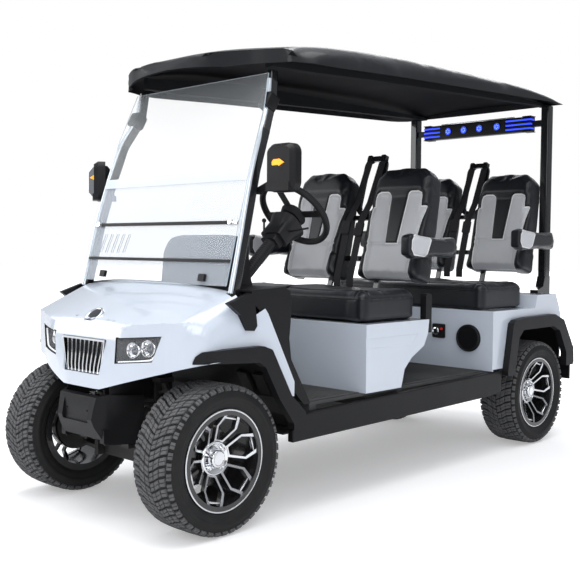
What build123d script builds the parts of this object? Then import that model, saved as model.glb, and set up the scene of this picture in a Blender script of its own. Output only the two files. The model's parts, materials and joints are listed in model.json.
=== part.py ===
"""Four-seat golf cart with forward-facing benches, a hard roof, a folding windshield and alloy wheels.

Millimetres, +Z up, the nose towards -Y, the driver's side towards +X.
The origin is on the ground, midway between the front and rear bumpers, on the centre plane.
Outlines are given as (y, z): y from the nearer axle, so the nose and the tail move with the wheelbase,
and z with the wheel centres at AXLE_Z, so everything rides up or down with the tyres.
"""
from build123d import *
from math import cos, radians, sin
import os

os.makedirs("parts", exist_ok=True)

# ---------------------------------------------------------------- driving dimensions
FRONT_AXLE_Y = -1300.0
WHEELBASE = 2400.0
REAR_AXLE_Y = FRONT_AXLE_Y + WHEELBASE
FRONT_OVERHANG = 300.0
REAR_OVERHANG = 500.0
BENCH_Y = REAR_AXLE_Y - 1312.0      # middle of the front seat box
AXLE_Z = 292.0
TYRE_RADIUS = 292.0
TYRE_HALF_WIDTH = 112.0
FRONT_WHEEL_X = 470.0
REAR_WHEEL_X = 482.0
BODY_HALF_WIDTH = 577.0
FLOOR_TOP_Z = 455.0
SKIN = 6.0                # moulded body panels
SEAM = 0.4                # shut line between fixed pieces
RUNNING = 0.05            # radial clearance of a shaft in its bore


def save(part, label, station=0.0):
    """Moves a finished piece to its station and ride height, names it and writes it as its own node."""
    placed = part.moved(Location((0, station, TYRE_RADIUS - AXLE_Z)))
    placed.label = label
    export_step(placed, f"parts/{label}.step")


def side_plane(x):
    """Sketch plane seen from the side: local x runs rearwards, local y runs up."""
    return Plane.YZ.offset(x)


def cross_plane(y):
    """Sketch plane seen from the front: local x runs to the driver's side, local y runs up."""
    return Plane.XZ.offset(-y)


def block(x, y, z):
    """Adds a box given by its (low, high) limits along each axis to the part being built."""
    with Locations(((x[0] + x[1]) / 2, (y[0] + y[1]) / 2, (z[0] + z[1]) / 2)):
        Box(x[1] - x[0], y[1] - y[0], z[1] - z[0])


def pair(x0, x1):
    """Low and high x limits of one piece on each side of the cart."""
    return (min(x0, x1), max(x0, x1)), (-max(x0, x1), -min(x0, x1))


# ---------------------------------------------------------------- wheels
RIM_LIP_RADIUS = 199.0
BEAD_RADIUS = 178.0
BARREL_WALL = 7.0
RIM_HALF_WIDTH = 98.0
HUB_RADIUS = 62.0
DISH_DEPTH = 62.0         # the hub face lies this far inside the outer lip
SPINDLE_RADIUS = 15.0
PETALS = 6
PETAL_BAR = 9.5
LUG_NUTS = 4
LUG_CIRCLE_RADIUS = 46.0
HUB_FACE_X = RIM_HALF_WIDTH - DISH_DEPTH
DRUM_RADIUS = 112.0
# Opening inside one petal: (radius, half width) at its root, waist and tip.
PETAL_WINDOW = ((72.0, 16.0), (125.0, 43.0), (180.0, 23.0))


def wheel_plane(x):
    """Plane through a wheel's axle: local x runs along the axle, outwards, local y is the radius."""
    outward = 1 if x > 0 else -1
    return Plane(origin=(x, 0, AXLE_Z), x_dir=(outward, 0, 0), z_dir=(0, -outward, 0))


def make_tyre(x, station, label):
    shoulder = TYRE_RADIUS - 12
    half = TYRE_HALF_WIDTH
    bead = RIM_HALF_WIDTH - 8
    flank = (RIM_LIP_RADIUS + shoulder) / 2
    with BuildPart() as tyre:
        with BuildSketch(wheel_plane(x)):
            with BuildLine():
                Polyline((-bead, RIM_LIP_RADIUS + 2), (-bead, BEAD_RADIUS + 1), (bead, BEAD_RADIUS + 1),
                         (bead, RIM_LIP_RADIUS + 2))
                ThreePointArc((bead, RIM_LIP_RADIUS + 2), (half, flank), (half - 14, shoulder))
                ThreePointArc((half - 14, shoulder), (half - 19, TYRE_RADIUS - 5), (half - 28, TYRE_RADIUS - 2))
                ThreePointArc((half - 28, TYRE_RADIUS - 2), (0, TYRE_RADIUS), (28 - half, TYRE_RADIUS - 2))
                ThreePointArc((28 - half, TYRE_RADIUS - 2), (19 - half, TYRE_RADIUS - 5), (14 - half, shoulder))
                ThreePointArc((14 - half, shoulder), (-half, flank), (-bead, RIM_LIP_RADIUS + 2))
            make_face()
        revolve(axis=Axis((x, 0, AXLE_Z), (1, 0, 0)))
    save(tyre.part, label, station)


def make_rim(x, station, label):
    plane = wheel_plane(x)
    axle = Axis((x, 0, AXLE_Z), (1, 0, 0))
    face = Plane(origin=(x, 0, AXLE_Z), x_dir=(0, 1, 0), z_dir=(1 if x > 0 else -1, 0, 0))
    inner = BEAD_RADIUS - BARREL_WALL
    bead = RIM_HALF_WIDTH - 8 + SEAM
    bore = SPINDLE_RADIUS + RUNNING
    with BuildPart() as rim:
        # barrel with a flange at each lip
        with BuildSketch(plane):
            Polygon((-RIM_HALF_WIDTH, inner), (RIM_HALF_WIDTH, inner + 3), (RIM_HALF_WIDTH, RIM_LIP_RADIUS),
                    (bead, RIM_LIP_RADIUS), (bead, BEAD_RADIUS), (-bead, BEAD_RADIUS), (-bead, RIM_LIP_RADIUS),
                    (-RIM_HALF_WIDTH, RIM_LIP_RADIUS))
        revolve(axis=axle)
        # petals: bars round six windows, cut from a dished cone that joins the hub to the outer lip
        with BuildPart(mode=Mode.PRIVATE) as cone:
            with BuildSketch(plane):
                Polygon((HUB_FACE_X - 4, HUB_RADIUS - 4), (HUB_FACE_X + 2, HUB_RADIUS + 6),
                        (RIM_HALF_WIDTH - 14, inner - 8), (RIM_HALF_WIDTH - 10, inner + 3.5),
                        (RIM_HALF_WIDTH - 30, inner + 3.5), (RIM_HALF_WIDTH - 40, inner - 12),
                        (HUB_FACE_X - 20, HUB_RADIUS - 4))
            revolve(axis=axle)
        with BuildPart(mode=Mode.PRIVATE) as petals:
            (r0, w0), (r1, w1), (r2, w2) = PETAL_WINDOW
            bar = PETAL_BAR
            with BuildSketch(face):
                with PolarLocations(0, PETALS, start_angle=15):
                    Polygon((r0 - bar, w0 + 0.6 * bar), (r1, w1 + bar), (r2 + 2 * bar, w2 + bar),
                            (r2 + 2 * bar, -w2 - bar), (r1, -w1 - bar), (r0 - bar, -w0 - 0.6 * bar))
                with PolarLocations(0, PETALS, start_angle=15):
                    Polygon((r0, w0), (r1, w1), (r2, w2), (r2, -w2), (r1, -w1), (r0, -w0), mode=Mode.SUBTRACT)
            extrude(amount=RIM_HALF_WIDTH)
        add(cone.part & petals.part)
        # hub with its bore, and the brake drum behind it, open towards the knuckle
        with BuildSketch(plane):
            Polygon((HUB_FACE_X, bore), (HUB_FACE_X, HUB_RADIUS), (HUB_FACE_X - 22, HUB_RADIUS + 4),
                    (HUB_FACE_X - 26, DRUM_RADIUS), (HUB_FACE_X - 66, DRUM_RADIUS), (HUB_FACE_X - 66, DRUM_RADIUS - 7),
                    (HUB_FACE_X - 33, DRUM_RADIUS - 7), (HUB_FACE_X - 30, bore))
        revolve(axis=axle)
        # centre cap and lug nuts stand on the hub face
        with BuildSketch(face.offset(HUB_FACE_X)):
            Circle(30)
            Circle(bore, mode=Mode.SUBTRACT)
        extrude(amount=10)
        with BuildSketch(face.offset(HUB_FACE_X + 10)):
            Circle(30)
        extrude(amount=14, taper=12)
        with BuildSketch(face.offset(HUB_FACE_X)):
            with PolarLocations(LUG_CIRCLE_RADIUS, LUG_NUTS, start_angle=45):
                RegularPolygon(9, 6)
        extrude(amount=16)
    save(rim.part, label, station)


WHEELS = (
    ("front_left", FRONT_WHEEL_X, FRONT_AXLE_Y),
    ("front_right", -FRONT_WHEEL_X, FRONT_AXLE_Y),
    ("rear_left", REAR_WHEEL_X, REAR_AXLE_Y),
    ("rear_right", -REAR_WHEEL_X, REAR_AXLE_Y),
)
for corner, wheel_x, axle_y in WHEELS:
    make_tyre(wheel_x, axle_y, f"{corner}_tyre")
    make_rim(wheel_x, axle_y, f"{corner}_rim")

# ---------------------------------------------------------------- running gear
KINGPIN_X = FRONT_WHEEL_X - 110.0
KINGPIN_RADIUS = 10.0
KNUCKLE_HALF_HEIGHT = 55.0
ARM_THICKNESS = 18.0
RAIL_X = 145.0
RAIL_WIDTH = 50.0
RAIL_BOTTOM_Z = 300.0
RAIL_TOP_Z = 385.0
RAIL_HUMP_Z = 402.0       # underside of the rails where they climb over the rear axle
RAIL_DEPTH = 55.0
SILL_X = BODY_HALF_WIDTH - 25.0
SPRING_X = 325.0
AXLE_TUBE_RADIUS = 32.0
MOTOR_RADIUS = 82.0
OUTRIGGERS = (FRONT_AXLE_Y + 510, (FRONT_AXLE_Y + REAR_AXLE_Y) / 2 - 80, REAR_AXLE_Y - 540)

with BuildPart() as chassis_frame:
    with BuildSketch(side_plane(RAIL_X - RAIL_WIDTH / 2)):
        f, r = FRONT_AXLE_Y, REAR_AXLE_Y
        Polygon((f - 160, RAIL_BOTTOM_Z), (r - 420, RAIL_BOTTOM_Z), (r - 300, RAIL_HUMP_Z), (r + 400, RAIL_HUMP_Z),
                (r + 400, RAIL_HUMP_Z + RAIL_DEPTH), (r - 310, RAIL_HUMP_Z + RAIL_DEPTH), (r - 430, RAIL_TOP_Z),
                (f - 160, RAIL_TOP_Z))
    extrude(amount=RAIL_WIDTH)
    mirror(about=Plane.YZ)
    for y in (FRONT_AXLE_Y - 140, *OUTRIGGERS):
        block((-RAIL_X, RAIL_X), (y - 20, y + 20), (RAIL_BOTTOM_Z + 15, RAIL_TOP_Z - 5))
    block((-RAIL_X, RAIL_X), (REAR_AXLE_Y + 355, REAR_AXLE_Y + 395), (RAIL_HUMP_Z + 5, RAIL_HUMP_Z + 50))
    # outriggers and side members carry the floor and the sills
    for y in OUTRIGGERS:
        block((-SILL_X, SILL_X), (y - 20, y + 20), (RAIL_TOP_Z - 45, RAIL_TOP_Z))
    for low_high in pair(SILL_X - 25, SILL_X):
        block(low_high, (OUTRIGGERS[0] - 10, OUTRIGGERS[2] + 20), (RAIL_TOP_Z - 45, RAIL_TOP_Z))
    # splash plates hang under the first outrigger, behind the front wheels
    for low_high, hanger in zip(pair(250, 500), pair(360, 385)):
        block(low_high, (OUTRIGGERS[0] - 125, OUTRIGGERS[0] + 30), (RAIL_BOTTOM_Z + 26, RAIL_BOTTOM_Z + 32))
        block(hanger, (OUTRIGGERS[0] - 10, OUTRIGGERS[0] + 10), (RAIL_BOTTOM_Z + 30, RAIL_TOP_Z - 40))
save(chassis_frame.part, "chassis_frame")

with BuildPart() as front_suspension:
    rail_face = RAIL_X + RAIL_WIDTH / 2 + SEAM
    low_arm_z = AXLE_Z - KNUCKLE_HALF_HEIGHT - 2 - ARM_THICKNESS
    high_arm_z = AXLE_Z + KNUCKLE_HALF_HEIGHT + 2
    block((-195, 195), (-35, 35), (206, RAIL_BOTTOM_Z - SEAM))
    for side, inner_limits in zip((1, -1), pair(rail_face, 195)):
        for z in (low_arm_z, high_arm_z):
            with BuildSketch(Plane.XY.offset(z)):
                Polygon((side * 172, -65), (side * 230, -42), (side * (KINGPIN_X + 12), -18),
                        (side * (KINGPIN_X + 12), 18), (side * 230, 42), (side * 172, 65))
                with Locations((side * KINGPIN_X, 0)):
                    Circle(KINGPIN_RADIUS + RUNNING, mode=Mode.SUBTRACT)
            extrude(amount=ARM_THICKNESS)
        block(inner_limits, (-70, 70), (206, 420))
        # coil-over unit leans in to its tower
        lean = Plane(origin=(side * 262, 0, 366), x_dir=(0, 1, 0), z_dir=(-side * 0.33, 0, 0.94))
        with BuildSketch(lean):
            Circle(14)
        extrude(amount=215)
        for turn in range(6):
            with BuildSketch(lean.offset(20 + 27 * turn)):
                Circle(30)
            extrude(amount=12)
        block(pair(160, 215)[0 if side > 0 else 1], (-35, 35), (555, 575))
        block(pair(rail_face + 1, rail_face + 15)[0 if side > 0 else 1], (-35, 35), (395, 575))
    # steering rack housing
    block((-115, 115), (85, 130), (250, 290))
    block((-115, 115), (30, 90), (240, 275))
save(front_suspension.part, "front_suspension", FRONT_AXLE_Y)


def make_knuckle(side, label):
    stub_tip = FRONT_WHEEL_X + HUB_FACE_X + 8 - KINGPIN_X
    plate = FRONT_WHEEL_X + HUB_FACE_X - 80 - KINGPIN_X
    with BuildPart() as knuckle:
        with BuildSketch(Plane.XY.offset(AXLE_Z - KNUCKLE_HALF_HEIGHT)):
            with Locations((side * KINGPIN_X, 0)):
                Circle(20)
        extrude(amount=2 * KNUCKLE_HALF_HEIGHT)
        with BuildSketch(Plane.XY.offset(AXLE_Z - KNUCKLE_HALF_HEIGHT - ARM_THICKNESS - 4)):
            with Locations((side * KINGPIN_X, 0)):
                Circle(KINGPIN_RADIUS)
        extrude(amount=2 * KNUCKLE_HALF_HEIGHT + 2 * ARM_THICKNESS + 8)
        outward = Plane(origin=(side * KINGPIN_X, 0, AXLE_Z), x_dir=(0, 1, 0), z_dir=(side, 0, 0))
        for radius, length in ((SPINDLE_RADIUS, stub_tip), (30, plate + 6)):
            with BuildSketch(outward):
                Circle(radius)
            extrude(amount=length)
        # backing plate of the brake, and the steering arm
        with BuildSketch(outward.offset(plate)):
            Circle(DRUM_RADIUS - 4)
        extrude(amount=6)
        with BuildSketch(Plane.XY.offset(AXLE_Z - 12)):
            Polygon((side * (KINGPIN_X - 15), 0), (side * (KINGPIN_X + 12), 0), (side * (KINGPIN_X - 8), 95),
                    (side * (KINGPIN_X - 30), 95))
        extrude(amount=16)
    save(knuckle.part, label, FRONT_AXLE_Y)


make_knuckle(1, "left_knuckle")
make_knuckle(-1, "right_knuckle")

with BuildPart() as rear_axle:
    stub_tip = REAR_WHEEL_X + HUB_FACE_X + 8
    flange = REAR_WHEEL_X + HUB_FACE_X - 74
    for radius, reach in ((SPINDLE_RADIUS, stub_tip), (AXLE_TUBE_RADIUS, flange)):
        with BuildSketch(side_plane(-reach)):
            with Locations((0, AXLE_Z)):
                Circle(radius)
        extrude(amount=2 * reach)
    for start in (-flange, flange - 6):
        with BuildSketch(side_plane(start)):
            with Locations((0, AXLE_Z)):
                Circle(DRUM_RADIUS - 4)
        extrude(amount=6)
    # gear housing with the traction motor bolted to it
    with BuildSketch(side_plane(-105)):
        with Locations((0, AXLE_Z)):
            Circle(105)
    extrude(amount=85)
    with BuildSketch(side_plane(-22)):
        with Locations((-90, AXLE_Z)):
            Circle(MOTOR_RADIUS)
    extrude(amount=230)
save(rear_axle.part, "rear_axle", REAR_AXLE_Y)

with BuildPart() as rear_springs:
    pad_z = AXLE_Z + AXLE_TUBE_RADIUS + SEAM
    for side, seat, shackle, strap in zip((1, -1), pair(SPRING_X - 35, SPRING_X + 35),
                                          pair(RAIL_X - 20, SPRING_X + 30), pair(212, SPRING_X - 25)):
        with BuildSketch(side_plane(side * SPRING_X - 25)):
            with BuildLine():
                ThreePointArc((-280, 385), (0, pad_z + 7), (340, 385))
                Line((340, 385), (340, 399))
                ThreePointArc((340, 399), (0, pad_z + 34), (-280, 399))
                Line((-280, 399), (-280, 385))
            make_face()
        extrude(amount=50)
        for y in (-270, 340):
            block(shackle, (y - 18, y + 18), (RAIL_HUMP_Z - 20, RAIL_HUMP_Z - SEAM))
        block(seat, (-45, 45), (pad_z, pad_z + 10))
        block(strap, (-40, 10), (pad_z, pad_z + 12))
        # damper
        with BuildSketch(Plane(origin=(side * 235, -20, pad_z), x_dir=(1, 0, 0), z_dir=(0, -0.45, 0.893))):
            Circle(18)
        extrude(amount=120)
save(rear_springs.part, "rear_springs", REAR_AXLE_Y)

# ---------------------------------------------------------------- nose
ARCH_TOP_Z = 672.0
NOSE_LIP_Z = 545.0
HOOD_SLOPE = 23.7         # degrees, nose to windshield
HOOD_RIDGE = (122.0, 968.0)   # rear end of the hood's ridge (y, z), at the foot of the windshield
BUMPER_HALF_WIDTH = 196.0
BUMPER_FACE_Y = -FRONT_OVERHANG
PLATE_BOLT_RADIUS = 3.5
PLATE_BOLT_X = 70.0
POST_X = BODY_HALF_WIDTH - 77.0
FLARE_RISE = 34.6         # how far the flares stand out from the body's sides
FRONT_ARCH = ((40, 300), (40, ARCH_TOP_Z), (140, ARCH_TOP_Z), (180, 650), (260, 520), (360, 400), (400, 300))
LAMP_OUTLINE = ((214, 752), (410, 768), (372, 668), (206, 652))
GRILLE_TOP_X, GRILLE_TOP_Z = 150.0, 740.0
GRILLE_LOW_X, GRILLE_LOW_Z = 124.0, 600.0
GRILLE_BARS = 9


def cowl_block(inset):
    """Solid block with the nose's outer form, drawn in by inset on every face."""
    i = inset
    w = BODY_HALF_WIDTH
    with BuildPart() as form:
        with BuildSketch(side_plane(-700)):
            with BuildLine():
                Polyline((i - 272, 500), (i - 272, 545), (i - 270, 595), (i - 250, 745), (i - 238, 790 - i))
                ThreePointArc((i - 238, 790 - i), (i - 228, 812 - i), (i - 204, 826 - i))
                Polyline((i - 204, 826 - i), (122, 968 - i), (150, 975 - i), (170, 930), (370, 560), (370, 500),
                         (i - 272, 500))
            make_face()
        extrude(amount=1400)
        with BuildSketch(Plane.XY.offset(300)):
            with BuildLine():
                ThreePointArc((160 - w + i / 2, i - 180), (0, i - 276), (w - 160 - i / 2, i - 180))
                ThreePointArc((w - 160 - i / 2, i - 180), (w - 47 - i, i / 2 - 124), (w - i, -30))
                Polyline((w - i, -30), (w - i, 500), (i - w, 500), (i - w, -30))
                ThreePointArc((i - w, -30), (i - w + 47, i / 2 - 124), (160 - w + i / 2, i - 180))
            make_face()
        extrude(amount=900, mode=Mode.INTERSECT)
        # crowned hood: a cross-section pushed along the hood's slope
        slope = Plane(
            origin=(0, *HOOD_RIDGE), x_dir=(1, 0, 0), z_dir=(0, -cos(radians(HOOD_SLOPE)), -sin(radians(HOOD_SLOPE)))
        )
        with BuildSketch(slope.offset(-500)):
            with BuildLine():
                ThreePointArc((107 - w, -20 - i), (0, 2 - i), (w - 107, -20 - i))
                ThreePointArc((w - 107, -20 - i), (w - 45 - i / 2, -42 - i), (w - 17 - i, -85 - i))
                Polyline((w - 17 - i, -85 - i), (w - i, -150), (w - i, -800), (i - w, -800), (i - w, -150),
                         (17 + i - w, -85 - i))
                ThreePointArc((17 + i - w, -85 - i), (45 + i / 2 - w, -42 - i), (107 - w, -20 - i))
            make_face()
        extrude(amount=1100, mode=Mode.INTERSECT)
    return form.part


with BuildPart() as front_cowl:
    add(cowl_block(0))
    add(cowl_block(SKIN), mode=Mode.SUBTRACT)
    # the lower edge climbs from the chin to the flares; behind, the cabin side is open
    with BuildSketch(cross_plane(-400)):
        Polygon((-900, 300), (900, 300), (900, ARCH_TOP_Z), (BODY_HALF_WIDTH, ARCH_TOP_Z), (125, NOSE_LIP_Z),
                (-125, NOSE_LIP_Z), (-BODY_HALF_WIDTH, ARCH_TOP_Z), (-900, ARCH_TOP_Z))
    extrude(amount=-500, mode=Mode.SUBTRACT)
    with BuildSketch(side_plane(SKIN - BODY_HALF_WIDTH)):
        Polygon((94, 1050), (94, 700), (260, 400), (500, 400), (500, 1050))
    extrude(amount=2 * (BODY_HALF_WIDTH - SKIN), mode=Mode.SUBTRACT)
    with BuildSketch(side_plane(-900)):
        Polygon(*FRONT_ARCH)
    extrude(amount=1800, mode=Mode.SUBTRACT)
    # notches where the windshield posts come up
    with Locations((POST_X, 122, 930), (-POST_X, 122, 930)):
        Box(36, 96, 160, mode=Mode.SUBTRACT)
    # nose openings for the grille and the lamps
    with BuildSketch(cross_plane(-400)):
        Polygon((-GRILLE_TOP_X, GRILLE_TOP_Z), (GRILLE_TOP_X, GRILLE_TOP_Z), (GRILLE_LOW_X, GRILLE_LOW_Z),
                (-GRILLE_LOW_X, GRILLE_LOW_Z))
        for side in (1, -1):
            Polygon(*[(side * x, z) for x, z in LAMP_OUTLINE])
    extrude(amount=-260, mode=Mode.SUBTRACT)
save(front_cowl.part, "front_cowl", FRONT_AXLE_Y)

with BuildPart() as grille:
    top_x, top_z = GRILLE_TOP_X - 1, GRILLE_TOP_Z - 1
    low_x, low_z = GRILLE_LOW_X - 1, GRILLE_LOW_Z + 1
    with BuildSketch(cross_plane(-240)):
        Polygon((-top_x, top_z), (top_x, top_z), (low_x, low_z), (-low_x, low_z))
    extrude(amount=-8)
    for index in range(GRILLE_BARS):
        share = 2 * index / (GRILLE_BARS - 1) - 1
        head, foot = 0.83 * top_x * share, 0.83 * low_x * share
        with BuildSketch(cross_plane(-240)):
            Polygon((head - 4, top_z - 1), (head + 4, top_z - 1), (foot + 4, low_z + 1), (foot - 4, low_z + 1))
        extrude(amount=20)
    # the bars follow the nose: upright above the kink, raked forwards below it
    with BuildSketch(side_plane(-160)):
        Polygon((-270, 745), (-248, 745), (-252, 692), (-264, 598), (-270, 598))
    extrude(amount=320, mode=Mode.SUBTRACT)
    with BuildSketch(cross_plane(-246)):
        Polygon((-top_x, top_z), (top_x, top_z), (low_x, low_z), (-low_x, low_z))
        Polygon((8 - top_x, top_z - 8), (top_x - 8, top_z - 8), (low_x - 6, low_z + 8), (6 - low_x, low_z + 8),
                mode=Mode.SUBTRACT)
    extrude(amount=12)
save(grille.part, "grille", FRONT_AXLE_Y)

with BuildPart() as headlamps:
    # lens and bowl fill the lamp opening, flush with the nose
    with BuildSketch(Plane.XY.offset(600)):
        with BuildLine():
            ThreePointArc((-413, -178), (0, -272), (413, -178))
            Polyline((413, -178), (413, -130), (-413, -130), (-413, -178))
        make_face()
    extrude(amount=200)
    with BuildSketch(cross_plane(-400)) as lamp_shape:
        for side in (1, -1):
            Polygon(*[(side * x, z) for x, z in LAMP_OUTLINE])
        offset(amount=-SEAM, kind=Kind.INTERSECTION, mode=Mode.REPLACE)
    extrude(amount=-400, mode=Mode.INTERSECT)
save(headlamps.part, "headlamps", FRONT_AXLE_Y)

with BuildPart() as front_bumper:
    face_y, half = BUMPER_FACE_Y, BUMPER_HALF_WIDTH
    # chin block and wings that sweep back between the front wheels
    with BuildSketch(side_plane(-half)):
        Polygon((face_y + 52, 322), (face_y + 10, 395), (face_y, 425), (face_y + 8, 470), (face_y + 18, 512),
                (face_y + 55, 522), (0, 505), (0, 322))
    extrude(amount=2 * half)
    with BuildSketch(Plane.XY.offset(300)):
        Polygon((-half, -100), (-half, -140), (-132, face_y + 32), (-118, face_y), (118, face_y),
                (132, face_y + 32), (half, -140), (half, -100), (half - 8, -100), (half - 8, -136),
                (124, face_y + 40), (-124, face_y + 40), (8 - half, -136), (8 - half, -100))
    extrude(amount=300, mode=Mode.INTERSECT)
    # number-plate recess with its two bolt holes
    with BuildSketch(cross_plane(face_y)):
        with Locations((0, 455)):
            Rectangle(176, 92)
    extrude(amount=-14, mode=Mode.SUBTRACT)
    recess = Plane(origin=(0, face_y + 14, 455), x_dir=(1, 0, 0), z_dir=(0, -1, 0))
    with Locations(recess * Location((-PLATE_BOLT_X, 0)), recess * Location((PLATE_BOLT_X, 0))):
        Hole(PLATE_BOLT_RADIUS, depth=60)
    # brackets to the frame rails
    for low_high in pair(RAIL_X - 23, RAIL_X + 5):
        block(low_high, (face_y + 38, -160 - SEAM), (RAIL_BOTTOM_Z + 30, RAIL_TOP_Z))

with BuildPart() as pedals:
    for x in (200, 300):
        with BuildSketch(side_plane(x)):
            Polygon((395, 560), (450, 470), (462, 478), (407, 568))
        extrude(amount=62)
save(pedals.part, "pedals", FRONT_AXLE_Y)

# ---------------------------------------------------------------- floor and sills
FLOOR_FRONT_Y = FRONT_AXLE_Y + 488
FLOOR_REAR_Y = REAR_AXLE_Y - 496
ROCKER_WIDTH = 32.0

with BuildPart() as rockers:
    f, r = FRONT_AXLE_Y, REAR_AXLE_Y
    for low_x in (SILL_X + SEAM, -SILL_X - SEAM - ROCKER_WIDTH):
        with BuildSketch(side_plane(low_x)):
            Polygon((f + 356, 309), (r - 540, 326), (r - 403, 337), (r - 403, 452), (f + 482, 424), (f + 422, 417),
                    (f + 356, 362))
        extrude(amount=ROCKER_WIDTH)
save(rockers.part, "rockers")

with BuildPart() as floor:
    block((-SILL_X, SILL_X), (FLOOR_FRONT_Y, FLOOR_REAR_Y), (FLOOR_TOP_Z - 12, FLOOR_TOP_Z))
    # ribs under the tread plate rest on the outriggers
    for y in OUTRIGGERS:
        block((-SILL_X, SILL_X), (y - 20, y + 20), (RAIL_TOP_Z + SEAM, FLOOR_TOP_Z - 12))
    for low_high in pair(375, 400):
        block(low_high, (FLOOR_FRONT_Y, FLOOR_REAR_Y), (FLOOR_TOP_Z - 40, FLOOR_TOP_Z - 12))
save(floor.part, "floor")

# ---------------------------------------------------------------- front bench box
SEAT_BOX_TOP_Z = 765.0
SEAT_BOX_HALF_WIDTH = BODY_HALF_WIDTH - 7.0

with BuildPart() as front_seat_box:
    foot_z, half = FLOOR_TOP_Z + SEAM, SEAT_BOX_HALF_WIDTH
    with BuildSketch(side_plane(-half)):
        Polygon((-243, foot_z), (-243, SEAT_BOX_TOP_Z), (242, SEAT_BOX_TOP_Z), (234, SEAT_BOX_TOP_Z - 65),
                (202, 640), (102, 590), (47, 540), (22, foot_z))
    extrude(amount=2 * half)
    with BuildSketch(side_plane(SKIN - half)):
        Polygon((-237, foot_z - 5), (-237, SEAT_BOX_TOP_Z + 5), (224, SEAT_BOX_TOP_Z + 5),
                (226, SEAT_BOX_TOP_Z - 61), (197, 647), (99, 597), (41, 543), (16, foot_z - 5))
    extrude(amount=2 * (half - SKIN), mode=Mode.SUBTRACT)
    # ledge round the top that the cushion sits on
    with BuildSketch(Plane.XY.offset(SEAT_BOX_TOP_Z - 5)):
        Rectangle(2 * half - 4, 470)
        Rectangle(2 * half - 100, 390, mode=Mode.SUBTRACT)
    extrude(amount=5)
    # moulded recess along each side
    for start in (half - 1.5, -half - 0.5):
        with BuildSketch(side_plane(start)):
            Polygon((-243, 700), (152, 700), (102, 655), (-243, 655))
        extrude(amount=2, mode=Mode.SUBTRACT)
save(front_seat_box.part, "front_seat_box", BENCH_Y)

with BuildPart() as battery_pack:
    block((-330, 330), (-203, -13), (FLOOR_TOP_Z + SEAM, 690))
save(battery_pack.part, "battery_pack", BENCH_Y)

# ---------------------------------------------------------------- tail
REAR_DECK_Z = 850.0
REAR_SEAT_Z = 777.0
REAR_FASCIA_Y = -495.0
SPEAKER = (431.0, 625.0, 74.0)        # (x, z, radius) on the fascia
REAR_ARCH = ((-350, 300), (-340, 470), (-300, 640), (-250, 680), (120, 682), (200, 650), (295, 510), (305, 300))


def rear_block(inset):
    """Solid block with the tail's outer form, drawn in by inset on every face."""
    i = inset
    half = BODY_HALF_WIDTH + 3 - i
    with BuildPart() as form:
        with BuildSketch(side_plane(-half)):
            Polygon((REAR_FASCIA_Y + i, FLOOR_TOP_Z), (REAR_FASCIA_Y + i, REAR_SEAT_Z - i), (i - 45, REAR_SEAT_Z - i),
                    (i - 20, REAR_DECK_Z - i), (198, REAR_DECK_Z - i), (258 - i, 748 - i), (356 - i, 654 - i / 2),
                    (374 - i, 590), (370 - i, FLOOR_TOP_Z))
        extrude(amount=2 * half)
        with BuildSketch(Plane.XY.offset(300)):
            with BuildLine():
                Polyline((-half, 230), (-half, -600), (half, -600), (half, 230))
                ThreePointArc((half, 230), (half - 32 + i / 2, 312 - i / 2), (half - 110 + i, 346 - i))
                ThreePointArc((half - 110 + i, 346 - i), (0, 374 - i), (110 - half - i, 346 - i))
                ThreePointArc((110 - half - i, 346 - i), (32 - half - i / 2, 312 - i / 2), (-half, 230))
            make_face()
        extrude(amount=700, mode=Mode.INTERSECT)
    return form.part


with BuildPart() as rear_body:
    add(rear_block(0))
    add(rear_block(SKIN), mode=Mode.SUBTRACT)
    with BuildSketch(side_plane(-900)):
        Polygon((REAR_FASCIA_Y - 15, 400), (REAR_FASCIA_Y - 15, FLOOR_TOP_Z + SEAM),
                (REAR_FASCIA_Y + 7, FLOOR_TOP_Z + SEAM), (REAR_FASCIA_Y + 7, 465), (400, 465), (400, 400))
        Polygon(*REAR_ARCH)
    extrude(amount=1800, mode=Mode.SUBTRACT)
    # feet on the frame rails
    for low_high in pair(RAIL_X - 20, RAIL_X + 20):
        block(low_high, (352, 371), (RAIL_HUMP_Z + RAIL_DEPTH + SEAM, 500))
    # opening under the rear cushion
    with BuildSketch(Plane.XY.offset(REAR_SEAT_Z - 17)):
        with Locations((0, -262)):
            Rectangle(1000, 395)
    extrude(amount=30, mode=Mode.SUBTRACT)
save(rear_body.part, "rear_body", REAR_AXLE_Y)

with BuildPart() as rear_bumper:
    reach = REAR_OVERHANG
    with BuildSketch(Plane.XY.offset(RAIL_BOTTOM_Z + 32)):
        with BuildLine():
            ThreePointArc((-585, reach - 110), (0, reach), (585, reach - 110))
            Polyline((585, reach - 110), (585, reach - 124), (560, reach - 124))
            ThreePointArc((560, reach - 124), (0, reach - 65), (-560, reach - 124))
            Polyline((-560, reach - 124), (-585, reach - 124), (-585, reach - 110))
        make_face()
    extrude(amount=128)
    for low_high in pair(RAIL_X - 18, RAIL_X + 18):
        block(low_high, (400 + SEAM, reach - 55), (RAIL_HUMP_Z + 5, RAIL_HUMP_Z + 45))

with BuildPart() as bumpers:
    add(front_bumper.part.moved(Location((0, FRONT_AXLE_Y, 0))))
    add(rear_bumper.part.moved(Location((0, REAR_AXLE_Y, 0))))
save(bumpers.part, "bumpers")

with BuildPart() as tail_lights:
    outer = BODY_HALF_WIDTH + 3 + SEAM
    for side in (1, -1):
        with BuildSketch(cross_plane(341)):
            Polygon((side * (outer - 185), 560), (side * (outer - 90), 560), (side * (outer - 80), 640),
                    (side * (outer - 185), 640))
        extrude(amount=-20)
    add(rear_block(-SEAM), mode=Mode.SUBTRACT)
save(tail_lights.part, "tail_lights", REAR_AXLE_Y)

# ---------------------------------------------------------------- trim on the body's sides
REAR_FLARE_X = BODY_HALF_WIDTH + 3 + SEAM
STOP_HEIGHT = 124.0       # of the upright stops behind the front cushion


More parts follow.
